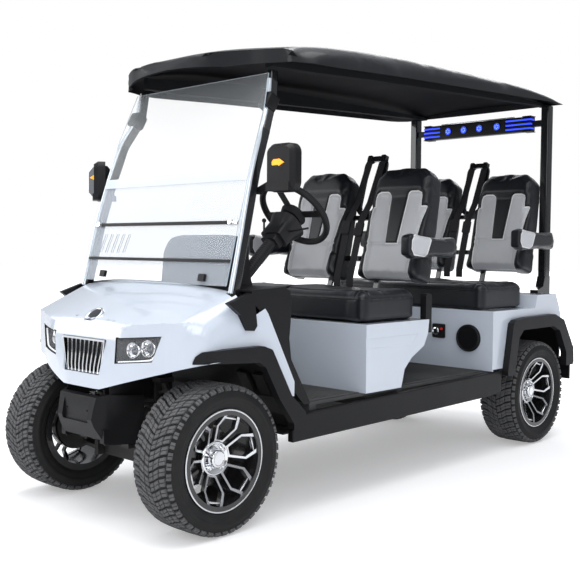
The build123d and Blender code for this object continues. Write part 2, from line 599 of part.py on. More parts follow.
def flare_band(arch, outline, low_x, high_x):
    """Raised band round a wheel opening, between the arch's edge and the outline, on both sides."""
    with BuildPart() as band:
        for start in (low_x, -high_x):
            with BuildSketch(side_plane(start), mode=Mode.PRIVATE) as opening:
                Polygon(*arch)
                fillet(opening.vertices(), 22)
            with BuildSketch(side_plane(start)) as shape:
                Polygon(*outline)
                fillet(shape.vertices(), 18)
                add(opening.sketch_local, mode=Mode.SUBTRACT)
            extrude(amount=high_x - low_x)
    return band.part


with BuildPart() as front_trim:
    add(flare_band(
        ((-300, 200), (-300, 670), (-150, 668), (135, 660), (170, 640), (250, 505), (335, 395), (335, 200)),
        ((-204, 636), (-204, 676), (-188, 697), (-150, 714), (-30, 723), (160, 723), (208, 706), (320, 512),
         (416, 424), (352, 372), (200, 372)),
        BODY_HALF_WIDTH + SEAM, BODY_HALF_WIDTH + FLARE_RISE,
    ))
    # covers over the feet of the windshield posts
    for low_high in pair(BODY_HALF_WIDTH - 17, BODY_HALF_WIDTH + 6.4):
        with BuildSketch(side_plane(low_high[0])):
            Polygon((-2, 893), (112, 930), (134, 915), (150, 800), (135, 782), (88, 786), (64, 846))
        extrude(amount=low_high[1] - low_high[0])
    add(cowl_block(-SEAM), mode=Mode.SUBTRACT)

with BuildPart() as rear_trim:
    add(flare_band(
        ((-320, 200), (-315, 470), (-278, 628), (-235, 665), (112, 667), (185, 640), (272, 505), (282, 200)),
        ((-400, 425), (-344, 706), (-310, 724), (-200, 732), (125, 736), (237, 698), (362, 525), (370, 425)),
        REAR_FLARE_X, BODY_HALF_WIDTH + FLARE_RISE + 6,
    ))
    # loudspeaker ring and charging plate on the fascia
    speaker_x, speaker_z, speaker_radius = SPEAKER
    with BuildSketch(cross_plane(REAR_FASCIA_Y - SEAM)):
        with Locations((speaker_x, speaker_z), (-speaker_x, speaker_z)):
            Circle(speaker_radius)
        with Locations((239, 652)):
            RectangleRounded(82, 78, 8)
    extrude(amount=8)

with BuildPart() as bench_trim:
    # upright stops behind the ends of the front cushion
    for low_high in pair(SEAT_BOX_HALF_WIDTH - 34, SEAT_BOX_HALF_WIDTH - 1):
        with BuildSketch(side_plane(low_high[0])):
            top_z = SEAT_BOX_TOP_Z + STOP_HEIGHT
            Polygon((214, SEAT_BOX_TOP_Z + SEAM), (214, top_z - 9), (222, top_z), (254, top_z), (262, top_z - 9),
                    (262, SEAT_BOX_TOP_Z - 65), (242 + SEAM, SEAT_BOX_TOP_Z - 65), (242 + SEAM, SEAT_BOX_TOP_Z + SEAM))
        extrude(amount=33)

with BuildPart() as side_trim:
    add(front_trim.part.moved(Location((0, FRONT_AXLE_Y, 0))))
    add(bench_trim.part.moved(Location((0, BENCH_Y, 0))))
    add(rear_trim.part.moved(Location((0, REAR_AXLE_Y, 0))))
save(side_trim.part, "side_trim")

# ---------------------------------------------------------------- cabin front
DASH_HALF_WIDTH = BODY_HALF_WIDTH - 12.0
DASH_WALL = 5.0
STEERING_X = 285.0
COLUMN_RADIUS = 20.0
COLUMN_LENGTH = 466.0
SHAFT_RADIUS = 9.0
WHEEL_HUB = (STEERING_X, 670.0, 1260.0)
WHEEL_RADIUS = 168.0
COLUMN_TILT = 42.0        # degrees of the steering wheel's axis above the horizontal
COLUMN_AXIS = (0, cos(radians(COLUMN_TILT)), sin(radians(COLUMN_TILT)))
BINNACLE_X = (-60.0, 362.0)
POCKET = (-400.0, 140.0, 130.0)       # glove pocket: (middle x, width, depth)
column_plane = Plane(origin=WHEEL_HUB, x_dir=(1, 0, 0), z_dir=COLUMN_AXIS)

with BuildPart() as dashboard:
    outline = ((136, 938), (315, 948), (355, 930), (363, 850), (350, 737), (363, 650), (482, FLOOR_TOP_Z + SEAM))
    inner = [(y - DASH_WALL, z - DASH_WALL if index < 3 else z) for index, (y, z) in enumerate(outline)]
    with BuildSketch(side_plane(-DASH_HALF_WIDTH)):
        Polygon(*outline, *reversed(inner))
    extrude(amount=2 * DASH_HALF_WIDTH)
    for start in (-DASH_HALF_WIDTH, DASH_HALF_WIDTH - DASH_WALL):
        with BuildSketch(side_plane(start)):
            Polygon((136, 934), (315, 944), (352, 926), (358, 850), (345, 737), (358, 650), (477, FLOOR_TOP_Z + 1),
                    (440, FLOOR_TOP_Z + 1), (340, 560), (180, 860), (136, 900))
        extrude(amount=DASH_WALL)
    # hooded instrument binnacle
    with BuildPart(mode=Mode.PRIVATE) as hood:
        low, high = BINNACLE_X
        with BuildSketch(cross_plane(180)) as face:
            Polygon((low, 940), (low + 22, 1158), (high - 22, 1158), (high, 940))
            fillet(face.vertices().group_by(Axis.Y)[-1], 60)
        extrude(amount=-180)
    with BuildPart(mode=Mode.PRIVATE) as silhouette:
        with BuildSketch(side_plane(-700)):
            Polygon((184, 941), (188, 1080), (214, 1146), (250, 1158), (318, 1150), (328, 1138), (326, 1000),
                    (338, 944))
        extrude(amount=1400)
    add(hood.part & silhouette.part)
    with BuildSketch(cross_plane(330)):
        with Locations(((low + high) / 2, 1062)):
            RectangleRounded(300, 130, 40)
    extrude(amount=16, mode=Mode.SUBTRACT)
    # glove pockets either side of the middle
    pocket_x, pocket_width, pocket_depth = POCKET
    with BuildSketch(cross_plane(366)):
        with Locations((pocket_x, 880), (pocket_x + 200, 880), (-pocket_x, 880)):
            Rectangle(pocket_width, 86)
    extrude(amount=pocket_depth)
    with BuildSketch(cross_plane(372)):
        with Locations((pocket_x, 880), (pocket_x + 200, 880), (-pocket_x, 880)):
            Rectangle(pocket_width - 10, 76)
    extrude(amount=pocket_depth, mode=Mode.SUBTRACT)
    with BuildSketch(column_plane.offset(-COLUMN_LENGTH)):
        Circle(COLUMN_RADIUS + SEAM)
    extrude(amount=COLUMN_LENGTH, mode=Mode.SUBTRACT)
save(dashboard.part, "dashboard", FRONT_AXLE_Y)

with BuildPart() as steering_column:
    with BuildSketch(column_plane.offset(-COLUMN_LENGTH)):
        Circle(COLUMN_RADIUS)
    extrude(amount=COLUMN_LENGTH - 70)
    with BuildSketch(column_plane.offset(-74)):
        Circle(SHAFT_RADIUS)
    extrude(amount=48)
    # cover with the direction lever, the turn-signal stalk and the key
    with BuildSketch(column_plane.offset(-205)):
        RectangleRounded(84, 66, 14)
    extrude(amount=141)
    with BuildSketch(column_plane.offset(-176)):
        RectangleRounded(118, 86, 18)
    extrude(amount=76)
    with BuildSketch(column_plane.offset(-66)):
        with Locations((0, 8)):
            RectangleRounded(156, 150, 60)
    extrude(amount=-90, taper=20)
    with BuildSketch(Plane.XY.offset(1125)):
        with Locations((STEERING_X - 54, 532)):
            Circle(4.5)
    extrude(amount=96)
    with Locations((STEERING_X - 54, 532, 1226)):
        Sphere(10)
    stalk = column_plane.offset(-125)
    with BuildSketch(Plane(origin=stalk.location.position + Vector(50, 0, 0), x_dir=(0, 1, 0), z_dir=(1, 0, 0.12))):
        Ellipse(6, 4.5)
    extrude(amount=120)
save(steering_column.part, "steering_column", FRONT_AXLE_Y)

with BuildPart() as steering_wheel:
    with BuildSketch(Plane(origin=WHEEL_HUB, x_dir=column_plane.z_dir, z_dir=(1, 0, 0))):
        with Locations((0, WHEEL_RADIUS)):
            Ellipse(16, 14)
    revolve(axis=Axis(WHEEL_HUB, COLUMN_AXIS))
    with BuildSketch(column_plane.offset(-8)):
        Circle(62)
    extrude(amount=-30, taper=18)
    with BuildSketch(column_plane.offset(-10)):
        Circle(56)
    extrude(amount=14, taper=20)
    with BuildSketch(column_plane.offset(-60)):
        Circle(20)
    extrude(amount=30)
    with BuildSketch(column_plane.offset(-62)):
        Circle(SHAFT_RADIUS + RUNNING)
    extrude(amount=37, mode=Mode.SUBTRACT)
    with BuildSketch(column_plane.offset(-12)):
        for angle in (0, 180, 270):
            with Locations((95 * cos(radians(angle)), 95 * sin(radians(angle)))):
                Rectangle(150, 30, rotation=angle)
    extrude(amount=9)
save(steering_wheel.part, "steering_wheel", FRONT_AXLE_Y)

# ---------------------------------------------------------------- windshield
ROOF_RAIL_X = BODY_HALF_WIDTH - 145.0
SHEET_HALF_WIDTH = POST_X - 18.0
ACRYLIC = 5.0
# Sheets and posts seen from the side, (y, z) from the front axle.
LOWER_SHEET = ((74.5, 953.0), (142.0, 1212.0), (193.0, 1388.0))
UPPER_SHEET = ((196.4, 1402.0), (341.4, 1822.0))
POST_PATH = ((POST_X, 100, 860), (POST_X, 104, 935), (POST_X - 5, 171, 1212), (POST_X - 18, 230, 1416),
             (POST_X - 25, 290, 1580), (POST_X - 60, 362, 1712), (ROOF_RAIL_X, 378, 1835))
VENT_SLOTS = 5
PASSENGER_MIRROR_TURN = 34.0                   # degrees towards the driver
BAR_LEVELS = ((2.0, 16.0), (161.0, 173.0))    # stiffening bars, distances below the sheet's bend

with BuildPart() as front_posts:
    for side in (1, -1):
        with BuildLine() as path:
            Polyline(*[(side * x, y, z) for x, y, z in POST_PATH])
        with BuildSketch(Plane(origin=(side * POST_X, 100, 860), x_dir=(1, 0, 0), z_dir=(0, 0.0532, 0.9986))):
            RectangleRounded(30, 44, 10)
        sweep(path=path.line, transition=Transition.ROUND)
save(front_posts.part, "front_posts", FRONT_AXLE_Y)

with BuildPart() as windshield:
    for sheet in (LOWER_SHEET, UPPER_SHEET):
        with BuildSketch(side_plane(-SHEET_HALF_WIDTH)):
            Polygon(*sheet, *[(y + ACRYLIC, z) for y, z in reversed(sheet)])
    extrude(amount=2 * SHEET_HALF_WIDTH)
    # the upper sheet narrows towards the roof with the posts
    half = SHEET_HALF_WIDTH
    with BuildSketch(cross_plane(0)):
        Polygon((-half, 900), (-half, 1600), (42 - half, 1830), (half - 42, 1830), (half, 1600), (half, 900))
    extrude(amount=-500, mode=Mode.INTERSECT)
    # slanted vent slots on the passenger's side
    with BuildSketch(cross_plane(0)):
        for index in range(VENT_SLOTS):
            x = 66 - half + 44 * index
            Polygon((x, 1078), (x + 14, 1078), (x + 34, 1160), (x + 20, 1160))
    extrude(amount=-200, mode=Mode.SUBTRACT)
save(windshield.part, "windshield", FRONT_AXLE_Y)


def on_lower_sheet(down, out):
    """Point (y, z) on the lower sheet, a distance down from its bend and out from its front face."""
    (y0, z0), (y1, z1) = LOWER_SHEET[:2]
    length = ((y1 - y0) ** 2 + (z1 - z0) ** 2) ** 0.5
    along_y, along_z = (y0 - y1) / length, (z0 - z1) / length
    return y1 + along_y * down + along_z * out, z1 + along_z * down - along_y * out


with BuildPart() as windshield_clamps:
    # hinge channel between the two sheets, held to the posts at both ends
    with BuildSketch(side_plane(-half)):
        Polygon((183, 1374), (188, 1374), (192.4, 1390.5), (199, 1391), (201.5, 1399.5), (195.6, 1400),
                (200.5, 1416), (195, 1416))
    extrude(amount=2 * half)
    # stiffening bars across the lower sheet, with knobs on the upper one
    for top, bottom in BAR_LEVELS:
        with BuildSketch(side_plane(-half)):
            Polygon(on_lower_sheet(top, SEAM), on_lower_sheet(top, 6), on_lower_sheet(bottom, 6),
                    on_lower_sheet(bottom, SEAM))
        extrude(amount=2 * half)
    knob_y, knob_z = on_lower_sheet(9, 5)
    normal_y, normal_z = on_lower_sheet(0, 1)[0] - LOWER_SHEET[1][0], on_lower_sheet(0, 1)[1] - LOWER_SHEET[1][1]
    for x in (35 - half, half - 35):
        with BuildSketch(Plane(origin=(x, knob_y, knob_z), x_dir=(1, 0, 0), z_dir=(0, normal_y, normal_z))):
            Circle(11)
        extrude(amount=12)
    # clips at the foot of the sheet
    for low_high in pair(322, 358):
        with BuildSketch(side_plane(low_high[0])):
            Polygon(on_lower_sheet(224, SEAM), on_lower_sheet(224, 14), on_lower_sheet(252, 14),
                    on_lower_sheet(252, SEAM))
        extrude(amount=36)
save(windshield_clamps.part, "windshield_clamps", FRONT_AXLE_Y)

with BuildPart() as mirrors:
    # arm from the post, then a head with a tapered front and a lip under it, the passenger's turned inwards
    arm_x, head_x = POST_X - 11, POST_X + 120
    for side, turn in ((1, 0.0), (-1, radians(PASSENGER_MIRROR_TURN))):
        with BuildSketch(cross_plane(232)):
            Polygon((side * arm_x, 1318), (side * arm_x, 1344), (side * (head_x - 40), 1378),
                    (side * (head_x - 40), 1346))
        extrude(amount=-22)
        facing = (-sin(turn), -cos(turn), 0)
        head = Plane(origin=(side * head_x, 240, 1418), x_dir=(cos(turn), -sin(turn), 0), z_dir=facing)
        with BuildSketch(head):
            RectangleRounded(150, 190, 40)
        extrude(amount=-34)
        with BuildSketch(head):
            RectangleRounded(150, 190, 40)
        extrude(amount=20, taper=35)
        with BuildSketch(head.offset(-10)):
            with Locations((0, -75.5)):
                Rectangle(124, 31)
        extrude(amount=36)
save(mirrors.part, "mirrors", FRONT_AXLE_Y)

# ---------------------------------------------------------------- seats
BACK_THICKNESS = 78.0
BACK_CENTRE_X = 270.0
FRAME_TUBE = 13.6
ARMREST_X = (503.0, 573.0)
ARMREST_LENGTH = 330.0
PIN_RADIUS = 9.0
BELT_X = (22.0, 66.0)
# Rows as (y, z): y from the bench box's middle or from the rear axle, z from what the cushion rests on.
SEAT_ROWS = (
    dict(name="front", station=BENCH_Y, cushion=(-238.0, 206.0), seat_z=SEAT_BOX_TOP_Z, half_width=560.0,
         foot=(274.0, 200.0), head=(438.0, 747.0), pivot=(448.0, 320.0), deck_z=SEAT_BOX_TOP_Z),
    dict(name="rear", station=REAR_AXLE_Y, cushion=(-528.0, -52.0), seat_z=REAR_SEAT_Z, half_width=545.0,
         foot=(4.0, 223.0), head=(164.0, 763.0), pivot=(155.0, 353.0), deck_z=REAR_DECK_Z),
)
CUSHION_HEIGHT = 148.0
row_backs, row_frames, row_belts = [], [], []

for row in SEAT_ROWS:
    name, station = row["name"], row["station"]
    with BuildPart() as cushion:
        low_z = row["seat_z"] + SEAM
        block((-row["half_width"], row["half_width"]), row["cushion"], (low_z, low_z + CUSHION_HEIGHT))
        fillet(cushion.edges().filter_by(Axis.Z), 45)
        fillet(cushion.faces().sort_by(Axis.Z)[-1].edges(), 34)
    save(cushion.part, f"{name}_cushion", station)

    foot_y, foot_z = row["foot"][0], row["seat_z"] + row["foot"][1]
    lean_y, lean_z = row["head"][0] - row["foot"][0], row["head"][1] - row["foot"][1]
    height = (lean_y**2 + lean_z**2) ** 0.5
    up, ahead = Vector(0, lean_y / height, lean_z / height), Vector(0, -lean_z / height, lean_y / height)
    lean = Plane(origin=(0, foot_y, foot_z), x_dir=(1, 0, 0), z_dir=ahead)
    with BuildPart() as backs:
        for side in (1, -1):
            with BuildSketch(lean) as outline:
                with Locations((side * BACK_CENTRE_X, 0)):
                    Polygon((-140, 4), (-190, 120), (-203, 300), (-192, 440), (-176, height - 50), (-128, height - 6),
                            (0, height + 4), (128, height - 6), (176, height - 50), (192, 440), (203, 300), (190, 120),
                            (140, 4))
                fillet(outline.vertices(), 30)
            extrude(amount=-BACK_THICKNESS)
        fillet(backs.faces().filter_by(lambda f: abs(f.normal_at().dot(lean.z_dir)) > 0.99).edges(), 14)
    row_backs.append(backs.part.moved(Location((0, station, 0))))

    # tubular frame behind the backs, with a loop handle between them
    behind = lean.offset(-BACK_THICKNESS - FRAME_TUBE - SEAM)
    pivot_y, pivot_z = row["pivot"][0], row["seat_z"] + row["pivot"][1]
    bracket_y = foot_y + ((pivot_z + 14 - foot_z) * lean_y + BACK_THICKNESS * height) / lean_z + 2
    with BuildPart() as seat_frame:
        with BuildSketch(behind):
            with Locations((-160, 125), (160, 125)):
                RectangleRounded(30, 680, 6)
            with Locations((-360, 230), (360, 230)):
                Rectangle(30, 250)
            with Locations((0, 115), (0, 345)):
                Rectangle(750, 26)
            with Locations((0, 526)):
                RectangleRounded(156, 348, 62)
                RectangleRounded(96, 288, 36, mode=Mode.SUBTRACT)
        extrude(amount=FRAME_TUBE)
        # belt guides on the handle
        with BuildSketch(behind.offset(-7)):
            with Locations((-46, 684), (46, 684)):
                RectangleRounded(34, 40, 10)
        extrude(amount=FRAME_TUBE + 14)
        for side, bracket in zip((1, -1), pair(345, ARMREST_X[0] - 6)):
            block(bracket, (bracket_y, pivot_y + 14), (pivot_z - 14, pivot_z + 14))
            with BuildSketch(side_plane(side * (ARMREST_X[0] - 23))):
                with Locations((pivot_y, pivot_z)):
                    Circle(PIN_RADIUS)
            extrude(amount=side * (ARMREST_X[1] - ARMREST_X[0] + 23))
        deck_z = row["deck_z"] + SEAM
        with Locations((0, pivot_y, deck_z - 200)):
            Box(1200, 900, 400, mode=Mode.SUBTRACT)
        if name == "front":
            for low_high in pair(145, 175):
                block(low_high, (212, 324), (deck_z, deck_z + 13))
    row_frames.append(seat_frame.part.moved(Location((0, station, 0))))

    # lap and shoulder belts hang from the guides through the gap between the backs
    with BuildPart() as belts:
        course = ((664 - SEAM, 5 - BACK_THICKNESS), (420, -40), (300, 3), (-20, 3), (-62, -10))
        front = [lean.origin + up * s + ahead * t for s, t in course]
        rear = [lean.origin + up * s + ahead * (t - 3) for s, t in course]
        for low_high in pair(*BELT_X):
            with BuildSketch(side_plane(low_high[0])):
                Polygon(*[(p.Y, p.Z) for p in front], *[(p.Y, p.Z) for p in reversed(rear)])
            extrude(amount=low_high[1] - low_high[0])
        # buckles
        with BuildSketch(lean.offset(2)):
            with Locations((-46, 262), (46, 250)):
                RectangleRounded(52, 74, 8)
        extrude(amount=12)
    row_belts.append(belts.part.moved(Location((0, station, 0))))

    # armrests swing up about a pin at their rear end
    for hand, low_high in zip(("left", "right"), pair(*ARMREST_X)):
        with BuildPart() as armrest:
            with BuildSketch(side_plane(low_high[0])) as pad:
                reach = ARMREST_LENGTH
                with Locations((pivot_y, pivot_z)):
                    Polygon((-reach, -12), (-reach, 78), (30 - reach, 90), (20, 76), (44, 30), (30, -26),
                            (40 - reach, -34))
                fillet(pad.vertices(), 16)
            extrude(amount=low_high[1] - low_high[0])
            with BuildSketch(side_plane(low_high[0])):
                with Locations((pivot_y, pivot_z)):
                    Circle(PIN_RADIUS + RUNNING)
            extrude(amount=low_high[1] - low_high[0], mode=Mode.SUBTRACT)
        save(armrest.part, f"{name}_armrest_{hand}", station)

for label, pieces in (("seat_backs", row_backs), ("seat_frames", row_frames), ("seat_belts", row_belts)):
    with BuildPart() as both_rows:
        for piece in pieces:
            add(piece)
    save(both_rows.part, label)

# ---------------------------------------------------------------- roof and rear posts
ROOF_HALF_WIDTH = 600.0
ROOF_SKIN = 8.0
ROOF_RAIL_END_Z = 1957.4          # flat underside of the roof rails over the rear posts
REAR_POST_X = BODY_HALF_WIDTH - 105.0
REAR_POST_Y = 251.0
LIGHT_BAR_HALF_WIDTH = 383.0
# Stations along the roof's crown: (y, height of the crown); the front ones ride with the windshield posts.
ROOF_CROWN = ((FRONT_AXLE_Y + 120, 1893.0), (FRONT_AXLE_Y + 300, 1946.0), (FRONT_AXLE_Y + 1060, 2028.0),
              (REAR_AXLE_Y - 540, 2050.0), (REAR_AXLE_Y + 40, 2042.0), (REAR_AXLE_Y + 320, 2004.0))


def roof_block(inset):
    """Solid block with the roof's crowned outer form, drawn in by inset on every face but the underside."""
    i = inset
    half = ROOF_HALF_WIDTH - i
    f, r = FRONT_AXLE_Y, REAR_AXLE_Y
    with BuildPart() as form:
        for y, crown_z in ROOF_CROWN:
            top = crown_z - i
            with BuildSketch(cross_plane(y)):
                with BuildLine():
                    ThreePointArc((60 - half, top - 40), (0, top), (half - 60, top - 40))
                    Polyline((half - 60, top - 40), (half, top - 76), (half, 1700), (-half, 1700), (-half, top - 76),
                             (60 - half, top - 40))
                make_face()
        loft()
        with BuildSketch(side_plane(-700)):
            Polygon((f + 150 + i, 1858), (f + 200, 1838), (f + 1030, 1884), (r + 200, 1954), (r + 295 - i, 1962),
                    (r + 300 - i, 2060), (f + 210 + i, 2060), (f + 176 + i, 1902))
        extrude(amount=1400, mode=Mode.INTERSECT)
        with BuildSketch(Plane.XY.offset(1700)):
            with BuildLine():
                ThreePointArc((-430, f + 236 + i), (0, f + 150 + i), (430, f + 236 + i))
                Polyline((430, f + 236 + i), (half - 30, f + 330), (half, f + 440), (half, r + 140), (560 - i, r + 272),
                         (0, r + 300 - i), (i - 560, r + 272), (-half, r + 140), (-half, f + 440),
                         (30 - half, f + 330), (-430, f + 236 + i))
            make_face()
        extrude(amount=500, mode=Mode.INTERSECT)
    return form.part


with BuildPart() as roof:
    add(roof_block(0))
    with Locations((0, 0, -4)):
        add(roof_block(ROOF_SKIN), mode=Mode.SUBTRACT)
    # rails that the posts bolt to
    f, r = FRONT_AXLE_Y, REAR_AXLE_Y
    for side in (1, -1):
        with BuildSketch(side_plane(side * ROOF_RAIL_X - 22)):
            Polygon((f + 340, 1845), (f + 340, 1905), (f + 1000, 1965), (r + 230, 1975), (r + 285, 1967),
                    (r + 285, ROOF_RAIL_END_Z), (r + 200, ROOF_RAIL_END_Z), (f + 1030, 1886))
        extrude(amount=44)
save(roof.part, "roof")

with BuildPart() as rear_posts:
    for side, limits in zip((1, -1), pair(REAR_POST_X - 25, REAR_POST_X + 25)):
        with BuildSketch(Plane.XY.offset(REAR_DECK_Z + 22)):
            with Locations((side * REAR_POST_X, REAR_POST_Y)):
                RectangleRounded(50, 60, 8)
        extrude(amount=ROOF_RAIL_END_Z - SEAM - REAR_DECK_Z - 22)
        # bracket down to the rear deck
        with BuildSketch(side_plane(limits[0])):
            Polygon((136, REAR_DECK_Z + SEAM), (198, REAR_DECK_Z + SEAM), (212, 842), (281, 842), (281, 950),
                    (221, 950), (200, 890), (136, 870))
        extrude(amount=50)
save(rear_posts.part, "rear_posts", REAR_AXLE_Y)

with BuildPart() as light_bar:
    # lamp housing between the rear posts, held by a bracket at each end
    with BuildSketch(side_plane(-LIGHT_BAR_HALF_WIDTH)):
        with Locations((REAR_POST_Y - 6, 1860)):
            RectangleRounded(56, 90, 9)
    extrude(amount=2 * LIGHT_BAR_HALF_WIDTH)
    for low_high in pair(LIGHT_BAR_HALF_WIDTH - 2, REAR_POST_X - 25 - SEAM):
        block(low_high, (REAR_POST_Y - 16, REAR_POST_Y + 16), (1842, 1878))
save(light_bar.part, "light_bar", REAR_AXLE_Y)
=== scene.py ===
"""Four-seat golf cart: the looks of every piece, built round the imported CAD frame.

Metres, +Z up, the nose towards -Y, the driver's side towards +X. The tools come first, and then the sections
follow the cart as it is put together.
"""
import json
from math import copysign, cos, hypot, pi, radians, sin, sqrt

import bmesh
import bpy
import numpy as np
from mathutils import Euler, Matrix, Vector
from mathutils.bvhtree import BVHTree


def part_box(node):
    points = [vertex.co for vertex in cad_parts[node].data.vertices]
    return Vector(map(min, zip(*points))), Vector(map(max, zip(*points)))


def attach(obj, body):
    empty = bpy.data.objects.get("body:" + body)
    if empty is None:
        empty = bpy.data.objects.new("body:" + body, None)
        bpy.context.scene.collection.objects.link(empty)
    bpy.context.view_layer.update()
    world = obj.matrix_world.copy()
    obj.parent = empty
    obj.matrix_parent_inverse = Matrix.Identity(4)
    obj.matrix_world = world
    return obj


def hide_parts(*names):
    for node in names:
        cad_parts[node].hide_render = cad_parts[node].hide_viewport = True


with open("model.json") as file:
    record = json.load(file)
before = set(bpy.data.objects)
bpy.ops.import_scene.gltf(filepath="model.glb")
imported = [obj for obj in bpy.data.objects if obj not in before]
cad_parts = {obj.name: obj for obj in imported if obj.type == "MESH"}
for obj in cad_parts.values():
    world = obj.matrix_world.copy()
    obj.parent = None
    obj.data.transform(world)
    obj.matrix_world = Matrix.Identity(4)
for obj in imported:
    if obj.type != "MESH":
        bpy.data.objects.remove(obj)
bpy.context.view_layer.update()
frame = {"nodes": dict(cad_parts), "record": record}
BODY_OF = {node: body for body, nodes in frame["record"]["behaviour"]["bodies"].items() for node in nodes}
SIDES = (1, -1)                        # the driver's side, then the passenger's
FORWARD = (0.0, -1.0, 0.0)
TO_FRONT = Matrix.Rotation(radians(-90), 4, "Z")         # turns what looks along +X to look forward
WELD = 2e-5                            # corners of the CAD meshes that lie nearer together are one
CREASE = radians(62.0)                 # a softened panel keeps the edges that are sharper than this
RELAXATION = 0.55                      # share of the way to its neighbours' middle that a corner moves


# -------------------- tools for materials
def add_material(name):
    """New material, with its nodes, its links and its shader."""
    material = bpy.data.materials.new(name)
    material.use_nodes = True
    nodes = material.node_tree.nodes
    return material, nodes, material.node_tree.links, nodes["Principled BSDF"]


def tune(node, **values):
    """Sets inputs of a node. An underscore stands for the space in an input's name."""
    for label, value in values.items():
        node.inputs[label.replace("_", " ")].default_value = value


def noise(nodes, links, place, scale, detail=2.0):
    """Noise texture on Object coordinates."""
    texture = nodes.new("ShaderNodeTexNoise")
    tune(texture, Scale=scale, Detail=detail)
    links.new(place.outputs["Object"], texture.inputs["Vector"])
    return texture


def finish(name, colour, roughness, metallic=0.0, coat=0.0, mottle=(6.0, 0.15), grain=(400.0, 0.0001),
           sheen=0.0, second=None):
    """Material on Object coordinates, with colour and roughness that drift over the piece and a fine grain.

    mottle is (scale, amount), grain is (scale, depth in metres), and the colour drifts towards second."""
    material, nodes, links, shader = add_material(name)
    scale, amount = mottle
    tune(shader, Metallic=metallic, Coat_Weight=coat, Coat_Roughness=0.06, Sheen_Weight=sheen,
         Specular_IOR_Level=0.5 if metallic or roughness < 0.3 else 0.22)
    place = nodes.new("ShaderNodeTexCoord")
    drift = noise(nodes, links, place, scale, 5.0)
    tint = nodes.new("ShaderNodeMix")
    tint.data_type = "RGBA"
    links.new(drift.outputs["Fac"], tint.inputs["Factor"])
    other = second or [channel * (1.0 + 2.0 * amount) for channel in colour]
    tune(tint, A=(*[channel * (1.0 - amount) for channel in colour], 1.0), B=(*other, 1.0))
    links.new(tint.outputs["Result"], shader.inputs["Base Color"])
    gloss = nodes.new("ShaderNodeMapRange")
    tune(gloss, To_Min=max(0.02, roughness - 0.5 * amount), To_Max=min(1.0, roughness + 0.5 * amount))
    links.new(drift.outputs["Fac"], gloss.inputs["Value"])
    links.new(gloss.outputs["Result"], shader.inputs["Roughness"])
    if grain[1] > 0.0:
        pores = noise(nodes, links, place, grain[0], 3.0)
        relief = nodes.new("ShaderNodeBump")
        tune(relief, Strength=0.6, Distance=grain[1])
        links.new(pores.outputs["Fac"], relief.inputs["Height"])
        links.new(relief.outputs["Normal"], shader.inputs["Normal"])
    return material


def glow(name, colour, strength):
    """Lit plastic: a coloured surface that also gives off some light."""
    material = finish(name, colour, 0.3, grain=(300.0, 0.0), mottle=(30.0, 0.05))
    shader = material.node_tree.nodes["Principled BSDF"]
    tune(shader, Emission_Color=(*colour, 1.0), Emission_Strength=strength)
    return material


def acrylic(name, colour, alpha, rough=0.03):
    """Clear plastic sheet: mostly see-through, with reflections that grow where it is seen edge-on."""
    material, nodes, links, shader = add_material(name)
    tune(shader, Base_Color=(*colour, 1.0), Specular_IOR_Level=0.35)
    haze = noise(nodes, links, nodes.new("ShaderNodeTexCoord"), 5.0)
    edge_on = nodes.new("ShaderNodeLayerWeight")
    tune(edge_on, Blend=0.12)
    for source, low, high, socket in ((haze.outputs["Fac"], rough, rough + 0.05, "Roughness"),
                                      (edge_on.outputs["Facing"], alpha, min(1.0, alpha + 0.45), "Alpha")):
        spread = nodes.new("ShaderNodeMapRange")
        tune(spread, To_Min=low, To_Max=high)
        links.new(source, spread.inputs["Value"])
        links.new(spread.outputs["Result"], shader.inputs[socket])
    return material


# -------------------- tools for meshes
def opened(mesh, weld=0.0):
    """A mesh opened for editing, with corners that lie nearer together than weld made one."""
    build = bmesh.new()
    build.from_mesh(mesh)
    if weld > 0.0:
        bmesh.ops.remove_doubles(build, verts=build.verts, dist=weld)
    return build


def closed(build, mesh):
    """Writes an edit into a mesh and ends it."""
    build.to_mesh(mesh)
    build.free()
    return mesh


def placed(name, data):
    """New object in the scene."""
    item = bpy.data.objects.new(name, data)
    bpy.context.scene.collection.objects.link(item)
    return item


def baked(holder):
    """Plain mesh of an object as its modifiers leave it."""
    return bpy.data.meshes.new_from_object(holder.evaluated_get(bpy.context.evaluated_depsgraph_get()))


def settle(piece):
    """Applies a piece's modifiers, so that its mesh is plain."""
    mesh = baked(piece)
    piece.modifiers.clear()
    piece.data = mesh


def bring_in(name, mesh, node, materials=(), replaces=()):
    """Links a finished mesh as a piece that rides on the body of a CAD node."""
    piece = placed(name, mesh)
    for material in materials:
        mesh.materials.append(material)
    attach(piece, BODY_OF[node])
    if replaces:
        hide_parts(*replaces)
    return piece


def rounded(piece, width, segments, angle):
    """Rounds the edges of a piece that are sharper than angle, in degrees."""
    rounding = piece.modifiers.new("edge rounding", "BEVEL")
    rounding.width, rounding.segments, rounding.angle_limit = width, segments, radians(angle)
    rounding.limit_method, rounding.harden_normals = "ANGLE", True
    settle(piece)


def dressed(node, name, slot, *materials, edge=0.002, corner=32.0, flat=0.6):
    """Stand-in for a CAD node: its facets joined, its edges rounded and its curves shaded smoothly.

    Facets within flat degrees are joined, edges sharper than corner degrees are rounded to the width edge."""
    shell = opened(frame["nodes"][node].data, WELD)
    bmesh.ops.dissolve_limit(shell, angle_limit=radians(flat), verts=shell.verts, edges=shell.edges)
    for face in shell.faces:
        face.smooth = True
    for line in shell.edges:
        if len(line.link_faces) == 2 and line.calc_face_angle(0.0) > radians(corner):
            line.smooth = False
    piece = bring_in(name, closed(shell, bpy.data.meshes.new(name)), node, materials, (node,))
    if edge > 0.0:
        rounded(piece, edge, 2, corner)
    return piece


